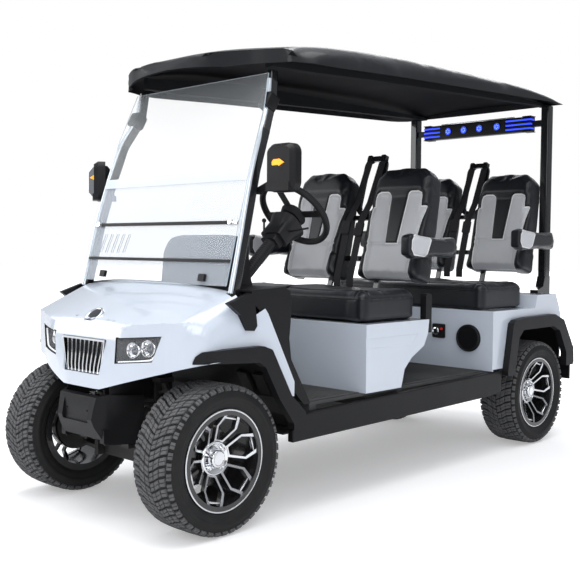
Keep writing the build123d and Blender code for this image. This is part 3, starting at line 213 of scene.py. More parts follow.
def softened(piece, size, passes, inner=None):
    """Rounds the creases of a moulded panel: long edges are cut to size and the corners relaxed.

    What lies at a sharp edge or an opening stays. Faces that look on to the panel get the inner material, a
    painted shade for the panel's inside."""
    shell = opened(piece.data)
    bmesh.ops.triangulate(shell, faces=shell.faces)
    for _ in range(9):
        long = [line for line in shell.edges if line.calc_length() > 1.5 * size]
        if not long:
            break
        bmesh.ops.subdivide_edges(shell, edges=long, cuts=1)
        bmesh.ops.triangulate(shell, faces=[face for face in shell.faces if len(face.verts) > 3])
    shell.verts.index_update()
    hold = np.zeros(len(shell.verts))
    for line in shell.edges:
        line.smooth = len(line.link_faces) == 2 and line.calc_face_angle(0.0) <= CREASE
        if not line.smooth:
            for corner in line.verts:
                hold[corner.index] = 1.0
    pairs = np.array([[corner.index for corner in line.verts] for line in shell.edges])
    places = np.array([corner.co[:] for corner in shell.verts])
    share = np.bincount(pairs.ravel(), minlength=len(places))
    for _ in range(passes):
        total = np.zeros_like(places)
        np.add.at(total, pairs[:, 0], places[pairs[:, 1]])
        np.add.at(total, pairs[:, 1], places[pairs[:, 0]])
        places += (RELAXATION * (1.0 - hold))[:, None] * (total / share[:, None] - places)
    for corner, place in zip(shell.verts, places):
        corner.co = place
    for face in shell.faces:
        face.smooth = True
    if inner:
        piece.data.materials.append(inner)
        sight = BVHTree.FromBMesh(shell)
        for face in shell.faces:
            start = face.calc_center_median() + face.normal * 0.0005
            if sight.ray_cast(start, face.normal, 1.5)[0] is not None:
                face.material_index = len(piece.data.materials) - 1
    closed(shell, piece.data)
    return piece


def spun(profile, steps, closed_line=False):
    """Mesh of a profile of (along, radius) points turned about the X axis."""
    along = np.array([point[0] for point in profile])
    radius = np.array([point[1] for point in profile])
    turns = np.arange(steps) * 2 * pi / steps
    points = np.stack([np.repeat(along[None], steps, 0), np.outer(np.sin(turns), radius),
                       np.outer(np.cos(turns), radius)], axis=2).reshape(-1, 3)
    n = len(profile)
    faces = [(s * n + k, ((s + 1) % steps) * n + k, ((s + 1) % steps) * n + (k + 1) % n, s * n + (k + 1) % n)
             for s in range(steps) for k in range(n if closed_line else n - 1)]
    mesh = bpy.data.meshes.new("spun")
    mesh.from_pydata([tuple(p) for p in points], [], faces)
    build = opened(mesh, 1e-6)
    bmesh.ops.recalc_face_normals(build, faces=build.faces)
    closed(build, mesh).shade_smooth()
    return mesh


def turned(profile, place, direction, steps, material):
    """Mesh of a profile of (along, radius) points turned about the line through place along direction."""
    mesh = spun(profile, steps)
    mesh.transform(Matrix.Translation(place) @ Vector(direction).to_track_quat("X", "Z").to_matrix().to_4x4())
    mesh.materials.append(material)
    return mesh


def slab(x, y, z, edge=0.002, segments=2, material=None):
    """Mesh of a box with rounded edges, given by its (low, high) limits."""
    build = bmesh.new()
    for corner in bmesh.ops.create_cube(build, size=1.0)["verts"]:
        corner.co = Vector([(limits[0] + limits[1]) / 2 + corner.co[k] * (limits[1] - limits[0])
                            for k, limits in enumerate((x, y, z))])
    bmesh.ops.bevel(build, geom=build.edges[:], offset=edge, segments=segments, profile=0.5, affect="EDGES")
    mesh = closed(build, bpy.data.meshes.new("slab"))
    mesh.shade_smooth()
    if material:
        mesh.materials.append(material)
    return mesh


def plate(outline, low_y, high_y, material, edge=0.001, place=None):
    """Mesh of a flat plate with rounded edges: an outline of (x, z) points, between two levels of y."""
    build = bmesh.new()
    face = build.faces.new([build.verts.new((x, low_y, z)) for x, z in outline])
    raised = bmesh.ops.extrude_face_region(build, geom=[face])["geom"]
    bmesh.ops.translate(build, verts=[v for v in raised if isinstance(v, bmesh.types.BMVert)],
                        vec=(0, high_y - low_y, 0))
    bmesh.ops.recalc_face_normals(build, faces=build.faces)
    if edge > 0.0:
        bmesh.ops.bevel(build, geom=build.edges[:], offset=edge, segments=2, affect="EDGES", profile=0.5)
    mesh = closed(build, bpy.data.meshes.new("plate"))
    mesh.materials.append(material)
    if place:
        mesh.transform(place)
    return mesh


def tube(path, radius, material, cyclic=False, sides=10, soft=True):
    """Round bar along a smooth path, as a plain mesh."""
    curve = bpy.data.curves.new("tube", "CURVE")
    curve.dimensions = "3D"
    curve.bevel_depth, curve.bevel_resolution, curve.resolution_u = radius, max(1, sides // 4), 8
    curve.use_fill_caps = True
    line = curve.splines.new("NURBS" if soft else "POLY")
    line.points.add(len(path) - 1)
    for point, place in zip(line.points, path):
        point.co = (*place, 1.0)
    line.use_cyclic_u = cyclic
    if soft:
        line.order_u = 3
        line.use_endpoint_u = not cyclic
    carrier = placed("tube", curve)
    mesh = baked(carrier)
    bpy.data.objects.remove(carrier)
    mesh.materials.clear()
    mesh.materials.append(material)
    mesh.shade_smooth()
    return mesh


def joined(meshes, name):
    """One mesh of several, with each one's materials kept."""
    whole = bpy.data.meshes.new(name)
    build = bmesh.new()
    slots = []
    for mesh in meshes:
        first = len(build.faces)
        build.from_mesh(mesh)
        build.faces.ensure_lookup_table()
        slots += [material for material in mesh.materials if material not in slots]
        for face in build.faces[first:]:
            if mesh.materials:
                face.material_index = slots.index(mesh.materials[face.material_index])
    closed(build, whole)
    for material in slots:
        whole.materials.append(material)
    return whole


def copy_tree(name, layout, **kinds):
    """Geometry Nodes: copies the piece's own mesh to the points that layout makes, all in one material."""
    tree = bpy.data.node_groups.new(name, "GeometryNodeTree")
    for label, kind in (("Geometry", "Geometry"), *kinds.items(), ("Material", "Material")):
        tree.interface.new_socket(label, in_out="INPUT", socket_type=f"NodeSocket{kind}")
    tree.interface.new_socket("Geometry", in_out="OUTPUT", socket_type="NodeSocketGeometry")
    add, link = tree.nodes.new, tree.links.new
    entry, leave = add("NodeGroupInput"), add("NodeGroupOutput")
    points, turn = layout(add, link, entry.outputs)
    copies, real, dress = (add(f"GeometryNode{kind}") for kind in ("InstanceOnPoints", "RealizeInstances",
                                                                   "SetMaterial"))
    link(points, copies.inputs["Points"])
    link(entry.outputs["Geometry"], copies.inputs["Instance"])
    if turn:
        link(turn, copies.inputs["Rotation"])
    link(copies.outputs[0], real.inputs[0])
    link(real.outputs[0], dress.inputs["Geometry"])
    link(entry.outputs["Material"], dress.inputs["Material"])
    link(dress.outputs[0], leave.inputs[0])
    return tree


def on_circle(add, link, given):
    """Points evenly round the X axis, and the turns with which the copies stand on the circle."""
    def math(operation, first, second=None):
        node = add("ShaderNodeMath")
        node.operation = operation
        for socket, value in zip(node.inputs, (first, second)):
            if isinstance(value, float):
                socket.default_value = value
            elif value is not None:
                link(value, socket)
        return node.outputs[0]

    index, points = add("GeometryNodeInputIndex"), add("GeometryNodePoints")
    place, turn = add("ShaderNodeCombineXYZ"), add("ShaderNodeCombineXYZ")
    share = math("DIVIDE", math("ADD", index.outputs[0], given["Phase"]), given["Count"])
    angle = math("MULTIPLY", share, 2 * pi)
    link(math("MULTIPLY", math("SINE", angle), given["Radius"]), place.inputs["Y"])
    link(math("MULTIPLY", math("COSINE", angle), given["Radius"]), place.inputs["Z"])
    link(math("MULTIPLY", angle, -1.0), turn.inputs["X"])
    link(given["Count"], points.inputs["Count"])
    link(place.outputs[0], points.inputs["Position"])
    return points.outputs[0], turn.outputs[0]


def in_row(add, link, given):
    """Points in a straight row at an even step."""
    row = add("GeometryNodeMeshLine")
    for label, socket in (("Count", "Count"), ("Start", "Start Location"), ("Step", "Offset")):
        link(given[label], row.inputs[socket])
    return row.outputs[0], None


RING = copy_tree("ring of copies", on_circle, Count="Int", Radius="Float", Phase="Float")
ROW = copy_tree("row of copies", in_row, Count="Int", Step="Vector", Start="Vector")


def evaluated(mesh, tree, **values):
    """Plain mesh that a Geometry Nodes tree makes from a mesh, with the tree's named inputs set first."""
    carrier = placed("carrier", mesh)
    modifier = carrier.modifiers.new("nodes", "NODES")
    modifier.node_group = tree
    for socket in tree.interface.items_tree:
        if socket.in_out == "INPUT" and socket.name in values:
            modifier[socket.identifier] = values[socket.name]
    result = baked(carrier)
    bpy.data.objects.remove(carrier)
    return result


def smooth_step(share):
    """Eases a share between 0 and 1 in and out."""
    return share * share * (3.0 - 2.0 * share)


# -------------------- ladder frame, axles and battery
# Welded steel rails and outriggers, arms, springs and axles, powder-coated black and dusty from the road.
# The battery box is a plain moulded case. Little of it shows, so the CAD pieces stay and take their finish.
frame_paint = finish("frame_powder_coat", (0.020, 0.020, 0.022), 0.45, mottle=(9.0, 0.3),
                     grain=(700.0, 0.0002), second=(0.045, 0.042, 0.038))
cast_metal = finish("cast_aluminium", (0.16, 0.16, 0.17), 0.5, metallic=0.8, mottle=(14.0, 0.25),
                    grain=(900.0, 0.0002))
case_plastic = finish("battery_case", (0.03, 0.03, 0.032), 0.5, grain=(500.0, 0.0002))
FRAME_NODES = ("front_suspension", "left_knuckle", "right_knuckle", "rear_springs", "chassis_frame")
for material, nodes in ((frame_paint, FRAME_NODES), (cast_metal, ("rear_axle",)),
                        (case_plastic, ("battery_pack",))):
    for node in nodes:
        skins = frame["nodes"][node].data.materials
        skins.clear()
        skins.append(material)

# -------------------- tyres
# Low-profile cart tyres in black rubber: a moulded carcass with rim guard and wear rings on the walls,
# a tread of six rows of skewed blocks, each with a sipe, and lugs that wrap over the shoulders.
TYRE_RADIUS = 0.292
TREAD_DEPTH = 0.008
TREAD_BLOCKS = 46
SHOULDER_ROW, SHOULDER_DROP = 0.06, 0.0018     # rows beyond this distance from the middle lie this much lower
SIPE_HALF = 0.0012
# Levels of a tread block from its foot to its top: (height, size).
BLOCK_LEVELS = ((-0.004, 1.12), (TREAD_DEPTH - 0.0012, 1.0), (TREAD_DEPTH, 0.9))
# Each row of tread blocks: (distance from the middle, half width, half length, skew, phase in blocks).
TREAD_ROWS = (
    (0.013, 0.0105, 0.0150, 0.45, 0.00), (-0.013, 0.0105, 0.0150, -0.45, 0.50),
    (0.041, 0.0125, 0.0150, 0.60, 0.35), (-0.041, 0.0125, 0.0150, -0.60, 0.85),
    (0.073, 0.0150, 0.0140, 0.30, 0.70), (-0.073, 0.0150, 0.0140, -0.30, 0.20),
)
LUG_PLACE, LUG_DROP, LUG_TILT, LUG_PHASE = 0.0985, -0.0085, 0.72, 0.3
LUG = (0.0, 0.0085, 0.0120, 0.0)       # its place, half width, half length and skew before it is set
TYRE_TURN = 0.3                        # radians for each metre along the cart, so that the treads differ
# Carcass from the inner bead to the middle of the tread: (along the axle, radius).
CARCASS = (
    (0.0900, 0.1800), (0.0920, 0.1990), (0.0965, 0.2035), (0.0985, 0.2075), (0.1000, 0.2085),
    (0.1025, 0.2160), (0.1085, 0.2290), (0.1088, 0.2325), (0.1105, 0.2335), (0.1115, 0.2420),
    (0.1112, 0.2500), (0.1098, 0.2515), (0.1080, 0.2600), (0.1040, 0.2690), (0.0990, 0.2770),
    (0.0940, 0.2810), (0.0860, 0.2832), (0.0600, 0.2840), (0.0300, 0.2843), (0.0000, 0.2844),
)
AXLES = {"front": (0.470, -1.300), "rear": (0.482, 1.100)}     # (x of the left wheel's middle, y)
WHEELS = {f"{axle}_{hand}": (side, Vector((side * x, y, TYRE_RADIUS)))
          for axle, (x, y) in AXLES.items() for side, hand in zip(SIDES, ("left", "right"))}
rubber = finish("tyre_rubber", (0.010, 0.010, 0.011), 0.60, mottle=(16.0, 0.35), grain=(900.0, 0.0003),
                second=(0.024, 0.024, 0.024))
# the tread blocks are far paler than the walls: partly dust and wear, partly a painted highlight on the tread
tread_rubber = finish("tread_rubber_dust_and_highlight", (0.085, 0.086, 0.090), 0.75, mottle=(22.0, 0.35),
                      grain=(900.0, 0.0003), second=(0.160, 0.160, 0.165))


def tread_block(middle, half_width, half_length, skew):
    """One block of the tread with tapered walls and a sipe across it, standing on the carcass."""
    points, faces = [], []
    for part in (-1, 1):
        low, high = sorted((part * SIPE_HALF, part * half_length))
        first, centre = len(points), (low + high) / 2
        for height, grow in BLOCK_LEVELS:
            for x, y in ((-1, low), (1, low), (1, high), (-1, high)):
                x_at = x * half_width * min(grow, 1.0)
                points.append((middle + x_at, centre + (y - centre) * grow + skew * x_at, height))
        for start in (first, first + 4):
            for k in range(4):
                a, b = start + k, start + (k + 1) % 4
                faces.append((a, b, b + 4, a + 4))
        faces.append((first + 8, first + 9, first + 10, first + 11))
        faces.append((first + 3, first + 2, first + 1, first))
    mesh = bpy.data.meshes.new("tread_block")
    mesh.from_pydata(points, [], faces)
    return mesh


tyre_parts = [spun([*CARCASS, *[(-x, r) for x, r in reversed(CARCASS[:-1])]], 96, closed_line=True)]
tyre_parts[0].materials.append(rubber)
for middle, half_width, half_length, skew, phase in TREAD_ROWS:
    drop = SHOULDER_DROP if abs(middle) > SHOULDER_ROW else 0.0
    tyre_parts.append(evaluated(tread_block(middle, half_width, half_length, skew), RING, Count=TREAD_BLOCKS,
                                Radius=TYRE_RADIUS - TREAD_DEPTH - drop, Phase=phase, Material=tread_rubber))
for side in SIDES:
    lug = tread_block(*LUG)
    lug.transform(Matrix.Translation((side * LUG_PLACE, 0, LUG_DROP))
                  @ Euler((0, side * LUG_TILT, 0)).to_matrix().to_4x4())
    tyre_parts.append(evaluated(lug, RING, Count=TREAD_BLOCKS, Radius=TYRE_RADIUS - TREAD_DEPTH,
                                Phase=LUG_PHASE * side, Material=tread_rubber))
tyre_mesh = joined(tyre_parts, "tyre")
for corner, (side, centre) in WHEELS.items():
    mesh = tyre_mesh.copy()
    mesh.transform(Matrix.Translation(centre) @ Euler((TYRE_TURN * centre.y, 0, 0)).to_matrix().to_4x4())
    bring_in(f"{corner}_tread_tyre", mesh, f"{corner}_tyre", (), (f"{corner}_tyre",))

# -------------------- rims
# Cast alloy rims painted gloss black, with the faces of the petals, their tips and a line round the lip
# machined bright, a chromed hub and centre cap, and chromed nuts.
rim_black = finish("rim_gloss_black", (0.012, 0.012, 0.013), 0.22, coat=0.6, grain=(600.0, 0.00003))
machined = finish("rim_machined_face", (0.72, 0.73, 0.75), 0.24, metallic=1.0, mottle=(30.0, 0.06),
                  grain=(1500.0, 0.00002))
hub_chrome = finish("hub_chrome", (0.78, 0.79, 0.81), 0.10, metallic=1.0, mottle=(20.0, 0.04),
                    grain=(300.0, 0.0))
HUB_FACE = 0.036                       # the hub's face from the middle of the wheel
HUB_RADIUS, PETAL_RADIUS = 0.070, 0.172      # the petals lie between the two
PETAL_DEPTH, LIP_FACE = 0.03, 0.093    # and between these along the axle, with the lip beyond
PETALS = 6
PETAL_PHASE = {1: 0.25, -1: 0.75}      # turn of the left and the right wheels, in steps of one petal
PETAL_TIP = ((HUB_RADIUS, 0.0845), (-0.0335, 0.0335), (0.1580, 0.1665))
LIP_LINE = ((0.0975, 0.1915), (0.0986, 0.1922), (0.0986, 0.1978), (0.0975, 0.1985))
CAP_PROFILE = ((0.0, 0.036), (0.008, 0.0365), (0.022, 0.034), (0.0245, 0.031), (0.0255, 0.024),
               (0.0225, 0.0225), (0.0225, 0.0))
HUB_PROFILE = ((-0.012, 0.070), (0.002, 0.069), (0.0065, 0.064), (0.0065, 0.060), (0.0035, 0.0575),
               (0.0035, 0.0))
NUT_PROFILE = ((0.0, 0.0095), (0.014, 0.0095), (0.0175, 0.007), (0.0185, 0.0))
NUTS, NUT_CIRCLE = 4, 0.046
RIM_FACING = 0.55                      # a face turned outward more than this is machined bright
petal_tip = slab(*PETAL_TIP, 0.0008, 1)
for corner, (side, centre) in WHEELS.items():
    rim = dressed(f"{corner}_rim", f"{corner}_alloy_rim", "rim", rim_black, machined, hub_chrome, edge=0.0012,
                  corner=30.0)
    for face in rim.data.polygons:
        offset = face.center - centre          # the middle of a ring-shaped face lies on the axle
        outward, radius, depth = face.normal.x * side, hypot(offset.y, offset.z), offset.x * side
        if outward > RIM_FACING and HUB_RADIUS < radius < PETAL_RADIUS and PETAL_DEPTH < depth < LIP_FACE:
            face.material_index = 1
        elif radius <= HUB_RADIUS and HUB_FACE - 0.03 < depth < LIP_FACE:
            face.material_index = 2
    cap, boss = spun(CAP_PROFILE, 48), spun(HUB_PROFILE, 64)
    for mesh in (cap, boss):
        mesh.materials.append(hub_chrome)
    nuts = evaluated(spun(NUT_PROFILE, 6), RING, Count=NUTS, Radius=NUT_CIRCLE, Phase=0.5,
                     Material=hub_chrome)
    hub = joined((cap, boss, nuts), "hub")
    hub.transform(Matrix.Translation((HUB_FACE, 0, 0)))
    line = spun(LIP_LINE, 96, closed_line=True)
    line.materials.append(machined)
    tips = evaluated(petal_tip, RING, Count=PETALS, Radius=0.0, Phase=PETAL_PHASE[side], Material=machined)
    hub = joined((hub, line, tips), "hub")
    hub.transform(Matrix.Translation(centre) @ Matrix.Scale(side, 4, (1, 0, 0)))
    if side < 0:
        hub.flip_normals()
    bring_in(f"{corner}_hub_cap", hub, f"{corner}_rim")

# -------------------- floor mat, sills and wheel-arch flares
# A sheet floor under a ribbed rubber mat, plastic sill covers between the wheels, and flexible black flares
# clipped over the wheel openings. The flares and sills are moulded in grained polypropylene.
MAT_X, RIB_X = (-0.535, 0.535), (-0.515, 0.515)
MAT_SHEETS = ((-0.80, -0.46), (-0.17, 0.595))            # limits along the cart of the front and the rear mat
MAT_RIBS = ((13, -0.785), (31, -0.150))                  # how many ribs each has, and where they start
MAT_RIB_PITCH, RIB_HALF = 0.024, 0.004
MAT_LEVELS, RIB_LEVELS = (0.0002, 0.004), (0.003, 0.0065)        # above the floor plate
BODY_SIDE_X = 0.577
FLARE_BEND_Y = -1.330                  # the body's side is straight behind this
CORNER_RADIUS = 0.180                  # of the nose's corners, seen from above
FLARE_RUN, FLARE_TURN = 0.174, radians(38.0)
FLARE_MELT = 0.11                      # the flare thins to the body's face over this length at its front end
FLARE_THINNING = 0.78                  # share of its thickness that it loses there
FLARE_CUT = 0.022                      # longest edge of the flares where they bend
FLARE_OVERLAP, FLARE_ROOT = 0.03, 0.002        # cut this far behind the bend, and bent from this far inside
FLARE_REACH = 0.6                      # the body's face is sought inwards from this radius
grained_plastic = finish("grained_black_plastic", (0.007, 0.007, 0.008), 0.42, mottle=(7.0, 0.2),
                         grain=(1400.0, 0.00025))
mat_rubber = finish("floor_mat_rubber", (0.050, 0.052, 0.055), 0.8, mottle=(5.0, 0.3), grain=(420.0, 0.0009),
                    second=(0.105, 0.105, 0.105))
dressed("floor", "floor_plate", "floor_mat", mat_rubber, edge=0.0015)
dressed("rockers", "sill_covers", "dark_plastic", grained_plastic, edge=0.006)
trim = dressed("side_trim", "flares_and_trim", "dark_plastic", grained_plastic, edge=0.0)
# Ahead of the straight side the front flares bend round the nose's corner, an arc seen from above,
# and thin out to the body's face.
shell = opened(trim.data)
bmesh.ops.triangulate(shell, faces=[f for f in shell.faces if min(v.co.y for v in f.verts) < FLARE_BEND_Y])
for _ in range(4):
    long = [line for line in shell.edges if line.calc_length() > FLARE_CUT
            and max(corner.co.y for corner in line.verts) < FLARE_BEND_Y + FLARE_OVERLAP]
    bmesh.ops.subdivide_edges(shell, edges=long, cuts=1)
    bmesh.ops.triangulate(shell, faces=[face for face in shell.faces if len(face.verts) > 3
                                        and min(v.co.y for v in face.verts) < FLARE_BEND_Y])
cowl = opened(frame["nodes"]["front_cowl"].data)
body = BVHTree.FromBMesh(cowl)
for corner in shell.verts:
    x, y, z = corner.co
    if y < FLARE_BEND_Y and abs(x) > BODY_SIDE_X - FLARE_ROOT:
        gone = FLARE_BEND_Y - y
        turn = FLARE_TURN * gone / FLARE_RUN
        pivot = Vector((copysign(BODY_SIDE_X - CORNER_RADIUS, x), FLARE_BEND_Y, z))
        out = Vector((copysign(cos(turn), x), -sin(turn), 0.0))
        hit = body.ray_cast(pivot + out * FLARE_REACH, -out, 0.5)[0]
        skin = (hit - pivot).length if hit else CORNER_RADIUS
        blend = min(1.0, gone / FLARE_MELT)
        rise = (abs(x) - BODY_SIDE_X) * (1.0 - FLARE_THINNING * blend)
        corner.co = pivot + out * (CORNER_RADIUS + (skin - CORNER_RADIUS) * blend + rise)
cowl.free()
closed(shell, trim.data)
rounded(trim, 0.006, 3, 40.0)

mat_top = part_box("floor")[1].z
mat = [slab(MAT_X, y, [mat_top + level for level in MAT_LEVELS], material=mat_rubber) for y in MAT_SHEETS]
rib = slab(RIB_X, (-RIB_HALF, RIB_HALF), [mat_top + level for level in RIB_LEVELS], 0.001, 1)
for count, start in MAT_RIBS:
    mat.append(evaluated(rib, ROW, Count=count, Start=(0.0, start, 0.0), Step=(0.0, MAT_RIB_PITCH, 0.0),
                         Material=mat_rubber))
bring_in("ribbed_floor_mat", joined(mat, "mat"), "floor")

# -------------------- painted body
# The nose, the bench box and the tail are injection-moulded panels in pearl white with a clear coat; their
# edges are rounded and the shut lines between them stay open. Two plain splash guards stand under the nose.
# Softened panels: (node, name of the piece, length of its edges, passes).
MOULDINGS = (("front_cowl", "nose_panel", 0.015, 12), ("rear_body", "tail_panel", 0.019, 6))
GUARD_X, GUARD_Y, GUARD_Z = (0.146, 0.150), (-1.535, -1.220), (0.490, 0.640)
pearl = finish("pearl_white_paint", (0.58, 0.64, 0.73), 0.28, coat=1.0, mottle=(2.5, 0.02),
               grain=(2500.0, 0.00001), second=(0.64, 0.695, 0.78))
# black for the trims, and a painted shade on the insides of the white panels
dark_trim_and_painted_shade = finish("dark_trim_and_painted_shade", (0.008, 0.008, 0.009), 0.7, grain=(500.0, 0.0002))
# the faces inside the nose and the tail take the dark material: painted shade, not the panels' own colour
for node, name, size, passes in MOULDINGS:
    softened(dressed(node, name, "body_white", pearl, edge=0.0, flat=0.1), size, passes, dark_trim_and_painted_shade)
dressed("front_seat_box", "bench_box_panel", "body_white", pearl, edge=0.006, corner=24.0)
guards = [slab(sorted(side * x for x in GUARD_X), GUARD_Y, GUARD_Z, 0.001, 1, dark_trim_and_painted_shade) for side in SIDES]
bring_in("nose_splash_guards", joined(guards, "guards"), "front_cowl")

# -------------------- nose fittings
# Chromed grille bars in a black bay, clear lamp lenses over chromed bowls with a light guide along the foot,
# a bare round chrome badge on the hood, and a grained bumper with a recess for a number plate.
BADGE = Vector((0.0, -1.505, 0.827))   # middle of the badge, where the hood turns down to the nose
BADGE_TILT = radians(38.0)
BADGE_RADIUS = 0.043
BADGE_RING = ((-0.016, BADGE_RADIUS), (0.0035, BADGE_RADIUS), (0.0050, BADGE_RADIUS - 0.0025),
              (0.0045, BADGE_RADIUS - 0.0065), (0.0020, BADGE_RADIUS - 0.0085))
BADGE_DISH = ((0.0020, BADGE_RADIUS - 0.0085), (0.0030, 0.020), (0.0034, 0.0))
LAMP_BOWLS = ((0.256, -1.508, 0.704, 0.028), (0.320, -1.484, 0.714, 0.030))      # (x, y, z, radius)
LAMP_AIM = (0.22, -1.0, 0.06)
BOWL_SET_BACK = 0.016                  # a bowl's rim lies this far behind the place given
BOWL_BACK, BOWL_DEPTH, BOWL_FLANGE = -0.016, 0.030, 0.003
LAMP_CORNERS = ((0.214, 0.752), (0.410, 0.768), (0.372, 0.668), (0.206, 0.652))
LAMP_BACK_Y = -1.455                   # the walls of the lamps' bays reach back to this
BAY_GAP, LAMP_WALL = 0.004, 0.0025     # the bay starts this far behind the lens, and how thick both are
GUIDE_RADIUS, GUIDE_GAP, BEZEL_RADIUS = 0.0035, 0.008, 0.0036
GUIDE_RUN = ((0.214, 0.658), (0.25, 0.661), (0.30, 0.666), (0.345, 0.671), (0.366, 0.677), (0.382, 0.705),
             (0.397, 0.745))
NOSE_TIP_Y, NOSE_SAGITTA, NOSE_CHORD = -1.572, 0.094, 0.413      # the nose's plan curve at the lamps
GRILLE_BAY_Y = -1.5425                 # the grille is dark behind this and chromed ahead of it
GRILLE_FOOT, GRILLE_HEAD = (0.124, 0.600), (0.150, 0.740)        # (half width, height)
GRILLE_BORDER = 0.0095                 # its frame is of smoked chrome
chrome = finish("bright_chrome", (0.80, 0.81, 0.83), 0.08, metallic=1.0, mottle=(18.0, 0.03),
                grain=(200.0, 0.0))
lens, _, _, shader = add_material("clear_lens")
tune(shader, Base_Color=(0.92, 0.95, 0.98, 1.0), Roughness=0.04, Alpha=0.06, Coat_Weight=0.3)
lamp_dark = finish("lamp_bay", (0.03, 0.032, 0.036), 0.32, grain=(500.0, 0.0))
smoked_chrome = finish("smoked_chrome", (0.16, 0.17, 0.19), 0.16, metallic=1.0, mottle=(18.0, 0.03),
                       grain=(200.0, 0.0))
white_glow = glow("white_light_guide", (0.95, 0.97, 1.0), 0.5)
grille = dressed("grille", "grille_bars", "chrome", chrome, dark_trim_and_painted_shade, smoked_chrome, edge=0.0012)
(foot_half, foot_z), (head_half, head_z) = GRILLE_FOOT, GRILLE_HEAD
for face in grille.data.polygons:
    x, y, z = face.center
    half = foot_half + (head_half - foot_half) * (z - foot_z) / (head_z - foot_z)
    if y > GRILLE_BAY_Y:
        face.material_index = 1
    elif abs(x) > half - GRILLE_BORDER or not foot_z + GRILLE_BORDER < z < head_z - GRILLE_BORDER:
        face.material_index = 2
dressed("bumpers", "bumper_mouldings", "dark_plastic", grained_plastic, edge=0.008, corner=28.0)

# The lens is the front wall of the CAD lamp, and the bay is its other walls, drawn in behind the lens.
for name, material, slot, is_lens in (("headlamp_lenses", lens, "lamp_glass", True),
                                      ("headlamp_bays", lamp_dark, "chrome", False)):
    shell = opened(frame["nodes"]["headlamps"].data, WELD)
    away = [face for face in shell.faces if (face.normal.y < -0.5) != is_lens]
    bmesh.ops.delete(shell, geom=away, context="FACES")
    if not is_lens:
        for corner in shell.verts:
            at_back = corner.co.y > LAMP_BACK_Y - 0.005
            corner.co.y = min(corner.co.y, LAMP_BACK_Y) if at_back else corner.co.y + BAY_GAP
    mesh = closed(shell, bpy.data.meshes.new(name))
    if is_lens:
        mesh.shade_smooth()
    else:
        mesh.shade_flat()
    piece = bring_in(name, mesh, "headlamps", (material,), ("headlamps",) if is_lens else ())
    wall = piece.modifiers.new("wall", "SOLIDIFY")
    wall.thickness, wall.offset = LAMP_WALL, -1.0 if is_lens else 1.0
    settle(piece)

lamp_meshes = []
dome = [(0.010 * cos(k * pi / 12) - 0.006, 0.013 * sin(k * pi / 12)) for k in range(7)]
for side in SIDES:
    for x, y, z, radius in LAMP_BOWLS:
        place = Vector((side * x, y + BOWL_SET_BACK, z))
        out = (Vector(LAMP_AIM) * Vector((side, 1, 1))).normalized()
        bowl = [(BOWL_BACK + BOWL_DEPTH * (k / 8) ** 2, radius * max(k, 0.01) / 8) for k in range(9)]
        bowl += [(0.016, radius + BOWL_FLANGE), (-0.004, radius + BOWL_FLANGE)]
        lamp_meshes.append(turned(bowl, place, out, 40, chrome))
        lamp_meshes.append(turned([*dome, (-0.014, 0.013)], place, out, 32, smoked_chrome))
bring_in("headlamp_bowls", joined(lamp_meshes, "bowls"), "headlamps")


def lamp_face_y(x):
    """Front of the lamps at x: the nose's plan curve, an arc through its tip and the lamps' outer ends."""
    radius = (NOSE_SAGITTA ** 2 + NOSE_CHORD ** 2) / (2 * NOSE_SAGITTA)
    return NOSE_TIP_Y + radius - sqrt(radius ** 2 - x * x)


guides, bezels = [], []
for side in SIDES:
    foot = [(side * x, lamp_face_y(x) + GUIDE_GAP, z) for x, z in GUIDE_RUN]
    guides.append(tube(foot, GUIDE_RADIUS, white_glow))
    border = []
    for (x0, z0), (x1, z1) in zip(LAMP_CORNERS, (*LAMP_CORNERS[1:], LAMP_CORNERS[0])):
        for k in range(6):
            x = x0 + (x1 - x0) * k / 6
            border.append((side * x, lamp_face_y(x), z0 + (z1 - z0) * k / 6))
    bezels.append(tube(border, BEZEL_RADIUS, dark_trim_and_painted_shade, cyclic=True, soft=False))
bring_in("headlamp_light_guides", joined(guides, "guides"), "headlamps")
bring_in("headlamp_bezels", joined(bezels, "bezels"), "headlamps")

badge_facing = Vector((0.0, -sin(BADGE_TILT), cos(BADGE_TILT)))
badge = [turned(profile, BADGE, badge_facing, 64, material)
         for profile, material in ((BADGE_RING, chrome), (BADGE_DISH, lamp_dark))]
bring_in("bare_hood_badge", joined(badge, "badge"), "front_cowl")

# -------------------- windshield posts
# Steel tubes in gloss black carry the windshield and the front of the roof. A pale strip along the front of
# each post is a painted highlight, and a moulded clamp grips each near its head.
STRIP_RADIUS, STRIP_OUT, STRIP_BACK = 0.0115, 0.002, 0.001       # set out and back from the post's face
CLAMP_HALF = (0.030, 0.030, 0.034)
CLAMP_PLACE, CLAMP_LEAN = (0.443, -0.958, 1.702), radians(-28)
# Middle of the left post's front face: (x, y, z).
POST_RUN = ((0.500, -1.219, 0.925), (0.4965, -1.160, 1.160), (0.495, -1.151, 1.212), (0.482, -1.092, 1.416),
            (0.475, -1.032, 1.580), (0.455, -0.989, 1.658), (0.440, -0.960, 1.712), (0.434, -0.946, 1.800))
gloss_steel = finish("black_post_paint", (0.014, 0.015, 0.017), 0.20, metallic=0.3, coat=0.7,
                     mottle=(8.0, 0.1), grain=(600.0, 0.00003))
